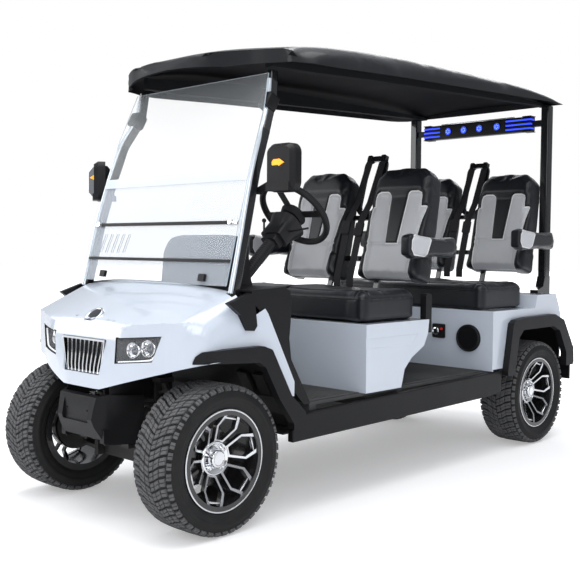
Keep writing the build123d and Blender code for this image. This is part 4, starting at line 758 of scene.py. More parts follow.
# a pale tube in front of each post paints the highlight along the post's front
post_highlight_paint = finish("painted_post_highlight", (0.62, 0.68, 0.74), 0.12, metallic=0.35, coat=1.0,
                       mottle=(12.0, 0.12), grain=(300.0, 0.0))
dressed("front_posts", "windshield_posts", "black_steel", gloss_steel, edge=0.002, corner=34.0)
strips, clamps = [], []
for side in SIDES:
    run = [(side * (x + STRIP_OUT), y + STRIP_BACK, z) for x, y, z in POST_RUN]
    strips.append(tube(run, STRIP_RADIUS, post_highlight_paint))
    clamp = slab(*[(-half, half) for half in CLAMP_HALF], 0.007, 2, grained_plastic)
    clamp.transform(Matrix.Translation(Vector(CLAMP_PLACE) * Vector((side, 1, 1)))
                    @ Matrix.Rotation(CLAMP_LEAN, 4, "X"))
    clamps.append(clamp)
bring_in("post_highlight_strips", joined(strips, "strips"), "front_posts")
bring_in("post_clamps", joined(clamps, "clamps"), "front_posts")

# -------------------- windshield
# Two acrylic sheets with polished edges, hinged at mid height. The lower one is faintly tinted and has a
# row of vent slots. A clear hinge channel, slim black bars, chromed knobs and folding clips hold them.
HINGE_Z = 1.398
CHANNEL_Z = 1.36                       # fittings above this are the clear hinge channel
KNOB_X, KNOB_Z, KNOB_Y = 0.447, (1.17, 1.235), -1.165    # the knobs' middles, heights and backs
KNOB_REACH = 0.02
clear_sheet = acrylic("windshield_clear", (0.90, 0.95, 0.98), 0.03)
tinted_sheet = acrylic("windshield_tinted", (0.72, 0.78, 0.86), 0.22)
edge_sheet = acrylic("windshield_cut_edge", (0.60, 0.72, 0.80), 0.75)
channel = acrylic("hinge_channel", (0.80, 0.86, 0.92), 0.55, 0.08)
screen = dressed("windshield", "windshield_sheets", "acrylic", clear_sheet, tinted_sheet, edge_sheet,
                 edge=0.0)
for face in screen.data.polygons:
    if abs(face.normal.x) > 0.5 or abs(face.normal.z) > 0.75:
        face.material_index = 2
    elif face.center.z < HINGE_Z:
        face.material_index = 1
fittings = dressed("windshield_clamps", "windshield_fittings", "dark_plastic", grained_plastic, channel,
                   chrome, edge=0.0008)
for face in fittings.data.polygons:
    x, y, z = face.center
    if z > CHANNEL_Z:
        face.material_index = 1
    elif abs(abs(x) - KNOB_X) < KNOB_REACH and KNOB_Z[0] < z < KNOB_Z[1] and y < KNOB_Y:
        face.material_index = 2

# -------------------- mirrors
# Ball-jointed mirrors on short arms at the posts: grained black heads, a silvered glass towards the seats
# and an amber turn-signal lens in the shape of an arrow on the front.
MIRROR_TURN = {1: 0.0, -1: radians(34.0)}        # of the left and the right head, towards the driver
MIRROR_CENTRE = (0.620, -1.060, 1.418)
ARROW = ((-0.031, -0.009), (0.004, -0.009), (0.004, -0.013), (0.033, 0.000), (0.008, 0.015), (-0.024, 0.013),
         (-0.032, 0.004))
ARROW_RISE = 0.018
ARROW_LEVELS, GLASS_LEVELS = (-0.0235, -0.0175), (0.0325, 0.0360)        # y from the head's middle
MIRROR_HALF = (0.062, 0.080)
MIRROR_CORNERS = ((-0.55, -1), (0.55, -1), (1, -0.6), (1, 0.6), (0.55, 1), (-0.55, 1), (-1, 0.6), (-1, -0.6))
silver = finish("mirror_glass", (0.86, 0.88, 0.90), 0.03, metallic=1.0, mottle=(4.0, 0.01),
                grain=(100.0, 0.0))
amber = glow("amber_signal", (1.0, 0.36, 0.03), 0.9)
dressed("mirrors", "mirror_heads", "dark_plastic", grained_plastic, edge=0.006, corner=30.0)
arrows, glasses = [], []
for side in SIDES:
    head = Matrix.Translation(Vector(MIRROR_CENTRE) * Vector((side, 1, 1)))
    head = head @ Matrix.Rotation(MIRROR_TURN[side], 4, "Z")
    arrow = [(side * x, z + ARROW_RISE) for x, z in ARROW]
    arrows.append(plate(arrow, *ARROW_LEVELS, amber, place=head))
    outline = [(MIRROR_HALF[0] * x, MIRROR_HALF[1] * z) for x, z in MIRROR_CORNERS]
    glasses.append(plate(outline, *GLASS_LEVELS, silver, place=head))
bring_in("mirror_arrows", joined(arrows, "arrows"), "mirrors")
bring_in("mirror_glasses", joined(glasses, "glasses"), "mirrors")

# -------------------- dashboard and gauges
# Grained black dashboard with open pockets; the hooded binnacle holds one wide display with two round dials
# and a bar gauge between them, and a row of rocker switches sits beneath.
DISPLAY = (0.151, -0.986, 1.062)       # middle of the binnacle's face
DISPLAY_SIZE, DISPLAY_CORNER, DISPLAY_DEPTH = (0.270, 0.100), 0.030, 0.006
DIAL_RADIUS = 0.038
DIALS = ((0.070, radians(-80)), (-0.070, radians(40)))           # (x, turn of the needle)
DIAL_RING = ((0.0, DIAL_RADIUS), (0.0016, DIAL_RADIUS), (0.0022, DIAL_RADIUS - 0.0015),
             (0.0, DIAL_RADIUS - 0.004))
TICK = ((-0.0006, 0.026), (0.0006, 0.026), (0.0006, 0.031), (-0.0006, 0.031))
NEEDLE = ((-0.0010, -0.006), (0.0010, -0.006), (0.0004, 0.026), (-0.0004, 0.026))
TICKS, TICK_START, TICK_TURN = 11, -120, 24      # marks on a dial, and their turns in degrees
MARK_RISE, NEEDLE_LEVELS = 0.0012, (0.001, 0.0022)
BARS, BAR_START, BAR_STEP = 6, -0.030, 0.009
BAR_HALF, BAR_HEIGHT = 0.006, 0.006
ROCKER = ((-0.011, 0.011), (0.0, 0.006), (-0.017, 0.017))
ROCKERS, ROCKER_START, ROCKER_STEP = 4, Vector((-0.130, -0.9395, 0.845)), Vector((0.034, 0, 0))
display_glass = finish("display_glass", (0.006, 0.007, 0.010), 0.06, coat=1.0, mottle=(5.0, 0.02),
                       grain=(100.0, 0.0))
dial_white = glow("dial_marks", (0.75, 0.85, 0.95), 0.35)
dressed("dashboard", "dashboard_moulding", "dark_plastic", grained_plastic, edge=0.004, corner=26.0)


def rounded_outline(width, height, radius, steps=6):
    """Points (x, z) round a rectangle with rounded corners about the origin."""
    points = []
    for quarter, (sx, sz) in enumerate(((1, -1), (1, 1), (-1, 1), (-1, -1))):
        for step in range(steps + 1):
            angle = (quarter - 1 + step / steps) * pi / 2
            points.append((sx * (width / 2 - radius) + radius * cos(angle),
                           sz * (height / 2 - radius) + radius * sin(angle)))
    return points


at_display = Matrix.Translation(DISPLAY)
gauges = [plate(rounded_outline(*DISPLAY_SIZE, DISPLAY_CORNER), 0.0, DISPLAY_DEPTH, display_glass, 0.0015,
                at_display)]
for dial_x, reading in DIALS:
    centre = at_display @ Vector((dial_x, DISPLAY_DEPTH, 0.0))
    gauges.append(turned(DIAL_RING, centre, (0, 1, 0), 48, chrome))
    for tick in range(TICKS):
        turn = Matrix.Rotation(radians(TICK_START + TICK_TURN * tick), 4, "Y")
        gauges.append(plate(TICK, 0.0, MARK_RISE, dial_white, 0.0, Matrix.Translation(centre) @ turn))
    at_needle = Matrix.Translation(centre) @ Matrix.Rotation(reading, 4, "Y")
    gauges.append(plate(NEEDLE, *NEEDLE_LEVELS, amber, 0.0, at_needle))
for bar in range(BARS):
    foot = BAR_START + BAR_STEP * bar
    outline = [(-BAR_HALF, foot), (BAR_HALF, foot), (BAR_HALF, foot + BAR_HEIGHT),
               (-BAR_HALF, foot + BAR_HEIGHT)]
    gauges.append(plate(outline, DISPLAY_DEPTH, DISPLAY_DEPTH + MARK_RISE, dial_white, 0.0, at_display))
bring_in("instrument_display", joined(gauges, "gauges"), "dashboard")
rockers = []
for index in range(ROCKERS):
    rocker = slab(*ROCKER, material=display_glass)
    rocker.transform(Matrix.Translation(ROCKER_START + ROCKER_STEP * index))
    rockers.append(rocker)
bring_in("rocker_switches", joined(rockers, "rockers"), "dashboard")

# -------------------- steering and pedals
# A slim column in a ribbed boot, a moulded switch cover with the direction lever and the signal stalk,
# and a three-spoke wheel with a soft grip. The wheel's middle pad carries a plain dished cap.
HUB = Vector((0.285, -0.630, 1.260))
COLUMN_AXIS = Vector((0.0, cos(radians(42)), sin(radians(42))))
BOOT_RIBS, BOOT_START, BOOT_PITCH = 19, -0.415, 0.011
# Profiles of the boot's foot, of one rib from its start, and of its head: (along, radius).
BOOT_FOOT, BOOT_HEAD = ((-0.420, 0.0205),), ((-0.205, 0.0290), (-0.196, 0.0290), (-0.194, 0.0205))
BOOT_RIB = ((0.0, 0.0230), (0.0030, 0.0275), (0.0075, 0.0275))
BOOT_WAVE = 0.0008                     # every second groove is this much shallower
CAP_DISH = ((0.0020, 0.040), (0.0055, 0.038), (0.0070, 0.034), (0.0055, 0.020), (0.0050, 0.0))
CAP_RING = ((0.0050, 0.0345), (0.0082, 0.0335), (0.0086, 0.0320), (0.0050, 0.0310))
soft_grip = finish("soft_grip", (0.012, 0.012, 0.013), 0.55, mottle=(20.0, 0.2), grain=(1600.0, 0.0003))
column_plastic = finish("column_plastic", (0.016, 0.016, 0.018), 0.36, mottle=(9.0, 0.15),
                        grain=(1200.0, 0.0002))
dressed("steering_column", "steering_column_cover", "black_steel", column_plastic, edge=0.003, corner=30.0)
dressed("steering_wheel", "steering_wheel_grip", "dark_plastic", soft_grip, edge=0.002, corner=34.0)
boot = [*BOOT_FOOT]
for rib in range(BOOT_RIBS):
    (start, groove), *crest = BOOT_RIB
    along = BOOT_START + BOOT_PITCH * rib
    boot += [(along + start, groove + BOOT_WAVE * (rib % 2)), *[(along + x, radius) for x, radius in crest]]
boot += BOOT_HEAD
bring_in("column_boot", turned(boot, HUB, COLUMN_AXIS, 40, column_plastic), "steering_column")
cap = [turned(profile, HUB, COLUMN_AXIS, 48, material)
       for profile, material in ((CAP_DISH, column_plastic), (CAP_RING, chrome))]
bring_in("steering_wheel_cap", joined(cap, "cap"), "steering_wheel")
dressed("pedals", "pedal_arms", "black_steel", frame_paint, edge=0.001)

# -------------------- seat cushions
# Each bench cushion is a crowned block of foam in black vinyl, blown up as cloth from a slightly smaller
# form, with a welt round its side and seams across its front roll, down its middle and along both ends.
VINYL_BLACK = ((0.007, 0.0080, 0.010), (0.013, 0.015, 0.020))
CLOTH_FRAMES = 20
PRESSURE = 4.0
CUSHION_SHRINK = (0.978, 0.955, 0.86)  # share of the CAD cushion's size that the form starts from
CUSHION_VOXEL, CUSHION_LIFT = 0.012, 0.020     # mesh size, and how far the filling may lift the cover
CUSHION_DISH = 0.012                   # depth of the hollow under each place
FRONT_ROLL, END_ROLL = 0.075, 0.085    # distance of the seams from the front edge and from the ends
TOP_ONLY = 0.045                       # seams are pressed into the cushion only this near its top
SEAM_WIDTH, MIDDLE_SEAM, FRONT_SEAM, END_SEAM = 0.007, 0.010, 0.007, 0.006       # the last three are depths
WELT_DROP, WELT_BAND, WELT_STEPS, WELT_RADIUS = 0.040, 0.008, 120, 0.0032


def vinyl(name, colour, second):
    """Grained upholstery vinyl."""
    material = finish(name, colour, 0.36, coat=0.3, mottle=(5.0, 0.12), grain=(1100.0, 0.0006), sheen=0.03,
                      second=second)
    tune(material.node_tree.nodes["Principled BSDF"], Coat_Roughness=0.3)
    return material


def corners_of(mesh):
    """Vertex places as an array."""
    flat = np.empty(len(mesh.vertices) * 3)
    mesh.vertices.foreach_get("co", flat)
    return flat.reshape(-1, 3)


def put_corners(mesh, points):
    """Writes vertex places back."""
    mesh.vertices.foreach_set("co", points.ravel())
    mesh.update()


def ramp(values, start, length):
    """Share from 0 to 1 of the way from start over length."""
    return np.clip((values - start) / length, 0.0, 1.0)


def scaled(points, factors):
    """Points drawn in or out about the middle of their box."""
    middle = (points.min(0) + points.max(0)) / 2
    return middle + (points - middle) * np.array(factors)


def foam_form(node, keep=None):
    """Closed mesh of the solid of a CAD node, or of those of its corners that pass keep."""
    build = opened(frame["nodes"][node].data, WELD)
    if keep:
        bmesh.ops.delete(build, geom=[v for v in build.verts if not keep(v.co)], context="VERTS")
    return closed(build, bpy.data.meshes.new(node))


def inflated(mesh, voxel, cap):
    """The form remeshed, blown up as cloth, held to the cap and smoothed by one subdivision."""
    carrier = placed("pad", mesh)
    grid = carrier.modifiers.new("remesh", "REMESH")
    grid.mode, grid.voxel_size = "VOXEL", voxel
    settle(carrier)
    rest = corners_of(carrier.data)
    cover = carrier.modifiers.new("cover", "CLOTH")
    cover.settings.use_pressure = True
    cover.settings.uniform_pressure_force = PRESSURE
    cover.settings.effector_weights.gravity = 0.0
    cover.settings.quality = 4
    cover.collision_settings.use_collision = False
    for step in range(1, CLOTH_FRAMES + 1):
        bpy.context.scene.frame_set(step)
    settle(carrier)
    bpy.context.scene.frame_set(1)
    moved = corners_of(carrier.data) - rest
    length = np.linalg.norm(moved, axis=1, keepdims=True)
    put_corners(carrier.data, rest + moved * np.minimum(1.0, cap / np.maximum(length, 1e-9)))
    round_off = carrier.modifiers.new("smooth", "SUBSURF")
    round_off.levels = round_off.render_levels = 1
    settle(carrier)
    mesh = carrier.data
    bpy.data.objects.remove(carrier)
    mesh.shade_smooth()
    return mesh


def press(mesh, distance, depth, width, direction):
    """Sinks a sewn seam into a mesh along direction, where the distance to its line is under the width."""
    points = corners_of(mesh)
    points += (depth * np.exp(-(distance / width) ** 2))[:, None] * np.array(direction)
    put_corners(mesh, points)


def segment_distance(points, a, b):
    """Distance of 2-D points from the segment a to b."""
    a, b = np.array(a), np.array(b)
    share = np.clip(((points - a) @ (b - a)) / ((b - a) @ (b - a)), 0.0, 1.0)
    return np.linalg.norm(points - a - share[:, None] * (b - a), axis=1)


black_vinyl = vinyl("black_vinyl", *VINYL_BLACK)
for node in ("front_cushion", "rear_cushion"):
    low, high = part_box(node)
    form = foam_form(node)
    put_corners(form, scaled(corners_of(form), CUSHION_SHRINK))
    mesh = inflated(form, CUSHION_VOXEL, CUSHION_LIFT)
    points = corners_of(mesh)
    half, middle_y, long_y = high.x, (low.y + high.y) / 2, high.y - low.y
    # the cover's underside lies flat on the ledge, and its top dishes a little under each place
    points[:, 2] = np.maximum(points[:, 2], low.z)
    top = ramp(points[:, 2], high.z - 0.05, 0.04)
    across = np.clip(1.0 - np.abs(np.abs(points[:, 0]) - half / 2) / (half / 2), 0.0, 1.0)
    along = np.clip(1.0 - np.abs(points[:, 1] - middle_y) / long_y * 2.0, 0.0, 1.0)
    points[:, 2] -= CUSHION_DISH * top * np.minimum(1.0, 2.0 * across) * np.minimum(1.0, 2.2 * along)
    put_corners(mesh, points)
    lower = np.where(points[:, 2] > high.z - TOP_ONLY, 0.0, 1.0)
    front, end = low.y + FRONT_ROLL, half - END_ROLL
    seams = (((0, low.y + 0.06), (0, high.y), MIDDLE_SEAM), ((-half, front), (half, front), FRONT_SEAM),
             ((end, low.y), (end, high.y), END_SEAM), ((-end, low.y), (-end, high.y), END_SEAM))
    for start, stop, depth in seams:
        distance = segment_distance(points[:, :2], start, stop) + lower
        press(mesh, distance, depth, SEAM_WIDTH, (0.0, 0.0, -1.0))
    bring_in(f"{node}_cover", mesh, node, (black_vinyl,), (node,))
    # the welt follows the side where the top panel is sewn to the boxing
    welt_z = high.z - WELT_DROP
    shell = corners_of(mesh)
    near = shell[np.abs(shell[:, 2] - welt_z) < WELT_BAND]
    offsets = near[:, :2] - np.array([0.0, middle_y])
    lengths = np.linalg.norm(offsets, axis=1)
    ring = []
    for step in range(WELT_STEPS):
        angle = 2 * pi * step / WELT_STEPS
        aim = np.array([cos(angle) / long_y, sin(angle) / (2 * half)])
        aim /= np.linalg.norm(aim)
        closest = np.argmax((offsets @ aim) / lengths)
        ring.append((*(near[closest, :2] + aim * 0.001), welt_z))
    bring_in(f"{node}_welt", tube(ring, WELT_RADIUS, black_vinyl, cyclic=True, sides=8), node)

# -------------------- seat backs
# Four bucket-style backs. The pattern is sewn: a black head band and side bolsters, two pale upper panels
# with a black stripe between them, a pale pad for the loins, and white piping between pale and black.
BACK_VOXEL, BACK_LIFT = 0.0103, 0.022
BACK_PLANES = {                        # foot and head of the front face on the centre plane, (y, z)
    "front": ((0.062, 0.965), (0.226, 1.512)),
    "rear": ((1.104, 1.000), (1.264, 1.540)),
}
BACK_X = 0.270
BACK_GROWTH = (1.045, 0.98, 1.035)
FOOT_TOP, FOOT_WIDER, FOOT_DROP = 0.13, 0.32, (0.008, 0.012)     # the foot spreads and drops below its top
HEAD_RISE = 0.034                      # the head stands this much above the foam block
HEAD_START, HEAD_RUN = 0.20, 0.35
BOLSTER_X, BOLSTER_RUN = 0.110, 0.03   # where the bolsters begin, and how far on they are full
BACK_DEPTH, BOLSTER_DEPTH = 0.0785, 0.075      # limit of the back's depth, and what the bolsters add to it
PALE_SIDE = ((0.118, 0.449), (0.136, 0.441), (0.142, 0.424), (0.143, 0.368), (0.168, 0.375), (0.170, 0.366),
             (0.161, 0.300), (0.153, 0.235), (0.144, 0.125), (0.139, 0.040), (0.136, -0.040))
PALE_PANEL = (*PALE_SIDE, *[(-x, s) for x, s in reversed(PALE_SIDE)])
LOIN_SEAM = 0.174
STRIPE = ((0.060, 0.480), (0.041, LOIN_SEAM), (-0.041, LOIN_SEAM), (-0.060, 0.480))
STRIPE_CORNER = 0.022                  # radius of the panels' corners beside the stripe
PANEL_DEPTH = 0.018                    # the bolsters stand this far forward of the panels
BOLSTER_GROWTH, GROWTH_TOP, GROWTH_RUN = (0.40, 0.40), 0.35, 0.25        # at the head, and added at the foot
BORDER_SEAM = (0.0065, 0.006)          # depth and width of the seam round the pale panels
PIPING = 0.0045
DEPTH_OF_COLOUR = 0.034                # the pale panels end this far behind the front face
# Seams on the front: (start, end, depth, width). Those at the side are mirrored.
LOIN_LINE = ((-0.160, LOIN_SEAM), (0.160, LOIN_SEAM), 0.006, 0.006)
SIDE_LINES = (((0.168, 0.375), (0.300, 0.385), 0.006, 0.007),
              ((0.118, -0.02), (0.126, LOIN_SEAM), 0.004, 0.005))


def polygon_distance(points, corners):
    """Signed distance of 2-D points from a polygon's edge, negative inside."""
    corners = np.array(corners)
    nearest = np.full(len(points), 1e9)
    inside = np.zeros(len(points), bool)
    for a, b in zip(corners, np.roll(corners, -1, axis=0)):
        nearest = np.minimum(nearest, segment_distance(points, a, b))
        crosses = (a[1] > points[:, 1]) != (b[1] > points[:, 1])
        with np.errstate(divide="ignore", invalid="ignore"):
            at = (b[0] - a[0]) * (points[:, 1] - a[1]) / (b[1] - a[1]) + a[0]
        inside ^= crosses & (points[:, 0] < at)
    return np.where(inside, -nearest, nearest)


def marked(mesh, values):
    """Stores one number per vertex for the sewn pattern."""
    layer = mesh.attributes.new("sewn_pattern", "FLOAT", "POINT")
    layer.data.foreach_set("value", np.asarray(values, dtype=np.float32))


def sewn_vinyl():
    """Black and pale vinyl with white piping, laid out by the sewn_pattern attribute of the pieces."""
    material = vinyl("sewn_vinyl", *VINYL_BLACK)
    nodes, links = material.node_tree.nodes, material.node_tree.links
    shader = nodes["Principled BSDF"]
    pattern = nodes.new("ShaderNodeAttribute")
    pattern.attribute_name = "sewn_pattern"
    drift = noise(nodes, links, nodes.new("ShaderNodeTexCoord"), 7.0)
    pale = nodes.new("ShaderNodeMix")
    pale.data_type = "RGBA"
    tune(pale, A=(0.47, 0.48, 0.50, 1.0), B=(0.58, 0.59, 0.62, 1.0))
    links.new(drift.outputs["Fac"], pale.inputs["Factor"])
    piping = nodes.new("ShaderNodeRGB")
    piping.outputs[0].default_value = (0.80, 0.80, 0.79, 1.0)
    colour = shader.inputs["Base Color"].links[0].from_socket
    for limit, source in ((PIPING, piping.outputs[0]), (0.0, pale.outputs["Result"])):
        below, mix = nodes.new("ShaderNodeMath"), nodes.new("ShaderNodeMix")
        below.operation = "LESS_THAN"
        below.inputs[1].default_value = limit
        links.new(pattern.outputs["Fac"], below.inputs[0])
        mix.data_type = "RGBA"
        for output, label in ((below.outputs[0], "Factor"), (colour, "A"), (source, "B")):
            links.new(output, mix.inputs[label])
        colour = mix.outputs["Result"]
    links.new(colour, shader.inputs["Base Color"])
    return material


def leaned(row, side):
    """Frame of a seat back: x across, y backwards from the front face, z up along the lean."""
    (foot_y, foot_z), (head_y, head_z) = BACK_PLANES[row]
    height = hypot(head_y - foot_y, head_z - foot_z)
    up_y, up_z = (head_y - foot_y) / height, (head_z - foot_z) / height
    return Matrix(((1, 0, 0, side * BACK_X), (0, up_z, up_y, foot_y), (0, -up_y, up_z, foot_z), (0, 0, 0, 1)))


two_tone = sewn_vinyl()
form = foam_form("seat_backs", lambda place: place.x > 0.0 and place.y < 0.7)
form.transform(leaned("front", 1).inverted())
points = scaled(corners_of(form), BACK_GROWTH)
foot = np.clip((FOOT_TOP - points[:, 2]) / FOOT_TOP, 0.0, 1.0)
points[:, 0] *= 1.0 + FOOT_WIDER * foot
points[:, 2] -= FOOT_DROP[0] + FOOT_DROP[1] * foot
points[:, 2] += HEAD_RISE * ramp(points[:, 2], HEAD_START, HEAD_RUN)
# the bolsters run back past the frame's bars, more so at the foot than at the head
bolster = ramp(np.abs(points[:, 0]), BOLSTER_X, BOLSTER_RUN)
points[:, 1] *= 1.0 + bolster * (BOLSTER_GROWTH[0] + BOLSTER_GROWTH[1]
                                 * np.clip((GROWTH_TOP - points[:, 2]) / GROWTH_RUN, 0.0, 1.0))
put_corners(form, points)
back_mesh = inflated(form, BACK_VOXEL, BACK_LIFT)
points = corners_of(back_mesh)
flat_points = points[:, (0, 2)]
panel = polygon_distance(flat_points, PALE_PANEL)
stripe = polygon_distance(flat_points, STRIPE)
within, beside = panel + STRIPE_CORNER, STRIPE_CORNER - stripe
pale = (np.hypot(np.maximum(within, 0.0), np.maximum(beside, 0.0))
        + np.minimum(np.maximum(within, beside), 0.0) - STRIPE_CORNER)
behind = ramp(points[:, 1], 0.030, 0.02)
# the panels lie behind the bolsters, and every seam is drawn in
sunk = np.clip(0.5 - panel / 0.06, 0.0, 1.0)
points[:, 1] += np.where(points[:, 1] < 0.040, PANEL_DEPTH * smooth_step(sunk) - 0.004, 0.0)
bolster = ramp(np.abs(points[:, 0]), BOLSTER_X, BOLSTER_RUN)
points[:, 1] = np.minimum(points[:, 1], BACK_DEPTH + BOLSTER_DEPTH * bolster)
put_corners(back_mesh, points)
inward = (0.0, 1.0, 0.0)
press(back_mesh, np.abs(pale) + behind, *BORDER_SEAM, inward)
mirrored_lines = [((side * x0, z0), (side * x1, z1), depth, width)
                  for side in SIDES for (x0, z0), (x1, z1), depth, width in SIDE_LINES]
for start, stop, depth, width in (LOIN_LINE, *mirrored_lines):
    press(back_mesh, segment_distance(flat_points, start, stop) + behind, depth, width, inward)
marked(back_mesh, np.maximum(pale, points[:, 1] - DEPTH_OF_COLOUR))
for row in BACK_PLANES:
    for side, hand in zip(SIDES, ("driver", "passenger")):
        mesh = back_mesh.copy()
        mesh.transform(leaned(row, side))
        pad = bring_in(f"{row}_{hand}_seat_back", mesh, "seat_backs", (two_tone,),
                       ("seat_backs",))

# -------------------- armrests
# Foam armrests in the same vinyl, with a pale panel set into the front half of each side.
ARM_PIVOTS = {"front": (0.236, 1.085), "rear": (1.255, 1.130)}
ARM_X = 0.538
ARM_SHRINK, ARM_GROWTH = (0.80, 0.965, 0.88), (1.0, 1.15, 1.12)
ARM_VOXEL, ARM_LIFT = 0.0075, 0.011
ARM_PANEL = ((-0.335, -0.006), (-0.352, 0.020), (-0.350, 0.060), (-0.330, 0.084), (-0.195, 0.092),
             (-0.245, -0.014))
ARM_FLANK = 0.012                      # the panels lie beyond this on either side of the middle
ARM_SEAM, ARM_SEAM_WIDTH = 0.003, 0.005
form = foam_form("front_armrest_left")
pivot_y, pivot_z = ARM_PIVOTS["front"]
form.transform(Matrix.Translation((-ARM_X, -pivot_y, -pivot_z)))
put_corners(form, scaled(corners_of(form), ARM_SHRINK) * np.array(ARM_GROWTH))
arm_mesh = inflated(form, ARM_VOXEL, ARM_LIFT)
points = corners_of(arm_mesh)
panel = polygon_distance(points[:, 1:], ARM_PANEL)
edge_on = np.clip((0.022 - np.abs(points[:, 0])) / 0.01, 0.0, 1.0)
seam = np.exp(-((np.abs(panel) + edge_on) / ARM_SEAM_WIDTH) ** 2)
points[:, 0] -= np.sign(points[:, 0]) * ARM_SEAM * seam
put_corners(arm_mesh, points)
marked(arm_mesh, np.where(np.abs(points[:, 0]) > ARM_FLANK, panel, 0.05))
for row, (pivot_y, pivot_z) in ARM_PIVOTS.items():
    for side, hand in zip(SIDES, ("left", "right")):
        mesh = arm_mesh.copy()
        mesh.transform(Matrix.Translation((side * ARM_X, pivot_y, pivot_z)))
        node = f"{row}_armrest_{hand}"
        bring_in(f"{node}_pad", mesh, node, (two_tone,), (node,))

# -------------------- seat frames and belts
# Black tube frames with the loop handles, and webbing belts with plain buckles that hang from the loops.
dressed("seat_frames", "seat_frame_tubes", "black_steel", gloss_steel, edge=0.003, corner=34.0)
belt_web = finish("belt_webbing", (0.016, 0.016, 0.018), 0.62, mottle=(40.0, 0.2), grain=(2400.0, 0.0005))
dressed("seat_belts", "seat_belt_webbing", "webbing", belt_web, edge=0.0008)

# -------------------- speakers, charging socket and tail lights
# Pimpled covers in the speaker rings, a charging socket with a chromed flap and a red key switch beside it
# on the rear bench's front, and red tail lights with three lit bars each.
SPEAKER_X, BENCH_FRONT_Y, SPEAKER_Z = 0.431, 0.5925, 0.625
SPEAKER_RADIUS = 0.074
SPEAKER_RIM = ((0.001, SPEAKER_RADIUS - 0.001), (0.005, SPEAKER_RADIUS - 0.004),
               (0.005, SPEAKER_RADIUS - 0.010), (0.001, SPEAKER_RADIUS - 0.013))
PIP_RINGS, PIP_STEP = 7, 0.0082
SOCKET_FLAP = ((0.0, 0.021), (0.007, 0.021), (0.009, 0.018), (0.009, 0.0))
SOCKET_CAP = ((0.009, 0.012), (0.011, 0.011), (0.011, 0.0))
KEY_SWITCH = ((0.0, 0.0075), (0.008, 0.007), (0.009, 0.0))
SOCKET_PLACE, KEY_PLACE = (0.227, BENCH_FRONT_Y, 0.652), (0.263, BENCH_FRONT_Y, 0.664)
TAIL_BARS = (0.25, 0.50, 0.75)         # heights of the lit bars, as shares of the light's height
TAIL_BAR_INNER, TAIL_BAR_OUTER = 0.088, 0.012  # ends of the bars from the light's outer end
TAIL_BAR_SUNK, TAIL_BAR_PROUD, TAIL_BAR_HALF = 0.003, 0.001, 0.004
speaker_black = finish("speaker_mesh", (0.010, 0.010, 0.011), 0.5, grain=(700.0, 0.0002))
red_lens = glow("red_lens", (0.55, 0.01, 0.01), 0.12)
red_bar = glow("red_bar", (0.95, 0.05, 0.04), 0.5)
build = bmesh.new()
bmesh.ops.create_cone(build, cap_ends=True, segments=6, radius1=0.0026, radius2=0.0018, depth=0.002)
build.transform(Matrix.Rotation(radians(90), 4, "Y"))
pip = closed(build, bpy.data.meshes.new("pip"))
speakers = []
for side in SIDES:
    front = Vector((side * SPEAKER_X, BENCH_FRONT_Y, SPEAKER_Z))
    speakers.append(turned(SPEAKER_RIM, front, FORWARD, 64, speaker_black))
    for ring in range(1, PIP_RINGS + 1):
        pips = evaluated(pip, RING, Count=6 * ring, Radius=PIP_STEP * ring, Phase=0.5 * (ring % 2),
                         Material=grained_plastic)
        pips.transform(Matrix.Translation(front + Vector((0, -0.001, 0))) @ TO_FRONT)
        speakers.append(pips)
bring_in("speaker_grilles", joined(speakers, "speakers"), "side_trim")
socket = [turned(SOCKET_FLAP, SOCKET_PLACE, FORWARD, 40, chrome),
          turned(SOCKET_CAP, SOCKET_PLACE, FORWARD, 32, speaker_black),
          turned(KEY_SWITCH, KEY_PLACE, FORWARD, 24, red_lens)]
bring_in("charging_socket", joined(socket, "socket"), "side_trim")
dressed("tail_lights", "tail_light_lenses", "red_lens", red_lens, edge=0.003)
low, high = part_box("tail_lights")
bars = []
for side in SIDES:
    across = sorted((side * (high.x - TAIL_BAR_INNER), side * (high.x - TAIL_BAR_OUTER)))
    for share in TAIL_BARS:
        z = low.z + (high.z - low.z) * share
        bars.append(slab(across, (high.y - TAIL_BAR_SUNK, high.y + TAIL_BAR_PROUD),
                         (z - TAIL_BAR_HALF, z + TAIL_BAR_HALF), 0.001, material=red_bar))
bring_in("tail_light_bars", joined(bars, "bars"), "tail_lights")

# -------------------- roof, rear posts and light bar
# One vacuum-formed roof in gloss black with a matt underside, on square rear posts. Under its rear edge
# hangs a black bar with four round lights, three light strips at each end that wrap round the corner, and a
# chrome rail. The front corners of the roof are pulled back and in, and their skirt is raised there.
ROOF_CORNER_START, ROOF_CORNER_LENGTH = -0.70, 0.28
ROOF_CORNER_INNER, ROOF_CORNER_WIDTH = 0.20, 0.30
ROOF_CORNER_IN, ROOF_CORNER_BACK, ROOF_CORNER_UP = 0.020, 0.038, 0.012
ROOF_SKIRT_TOP, ROOF_SKIRT_HEIGHT = 1.925, 0.06
UNDERSIDE = -0.15                      # faces that look further down than this are matt
ROUND_LIGHTS = (-0.199, -0.083, 0.031, 0.155)
LIGHT_Y, LIGHT_Z = 1.317, 1.860
LIGHT_RIM = ((0.0, 0.0245), (0.004, 0.0245), (0.005, 0.0225), (0.002, 0.0205))
LIGHT_DISC = ((0.002, 0.0205), (0.004, 0.014), (0.0045, 0.0))
LIGHT_CORE = ((0.0, 0.0035), (0.0015, 0.0028), (0.002, 0.0))
CORES, CORE_CIRCLE = 6, 0.011
STRIP_LEVELS, STRIP_HALF = (1.834, 1.860, 1.886), 0.0045
STRIP_Y = (1.3145, 1.319)
STRIP_RUNS = ((-0.380, -0.262), (0.216, 0.380))
STRIP_ENDS, STRIP_END_Y = (0.3795, 0.3848), (1.3145, 1.360)      # where the strips wrap round the bar's ends
RAIL = ((-0.260, 0.265), (1.330, 1.338), (1.905, 1.912))
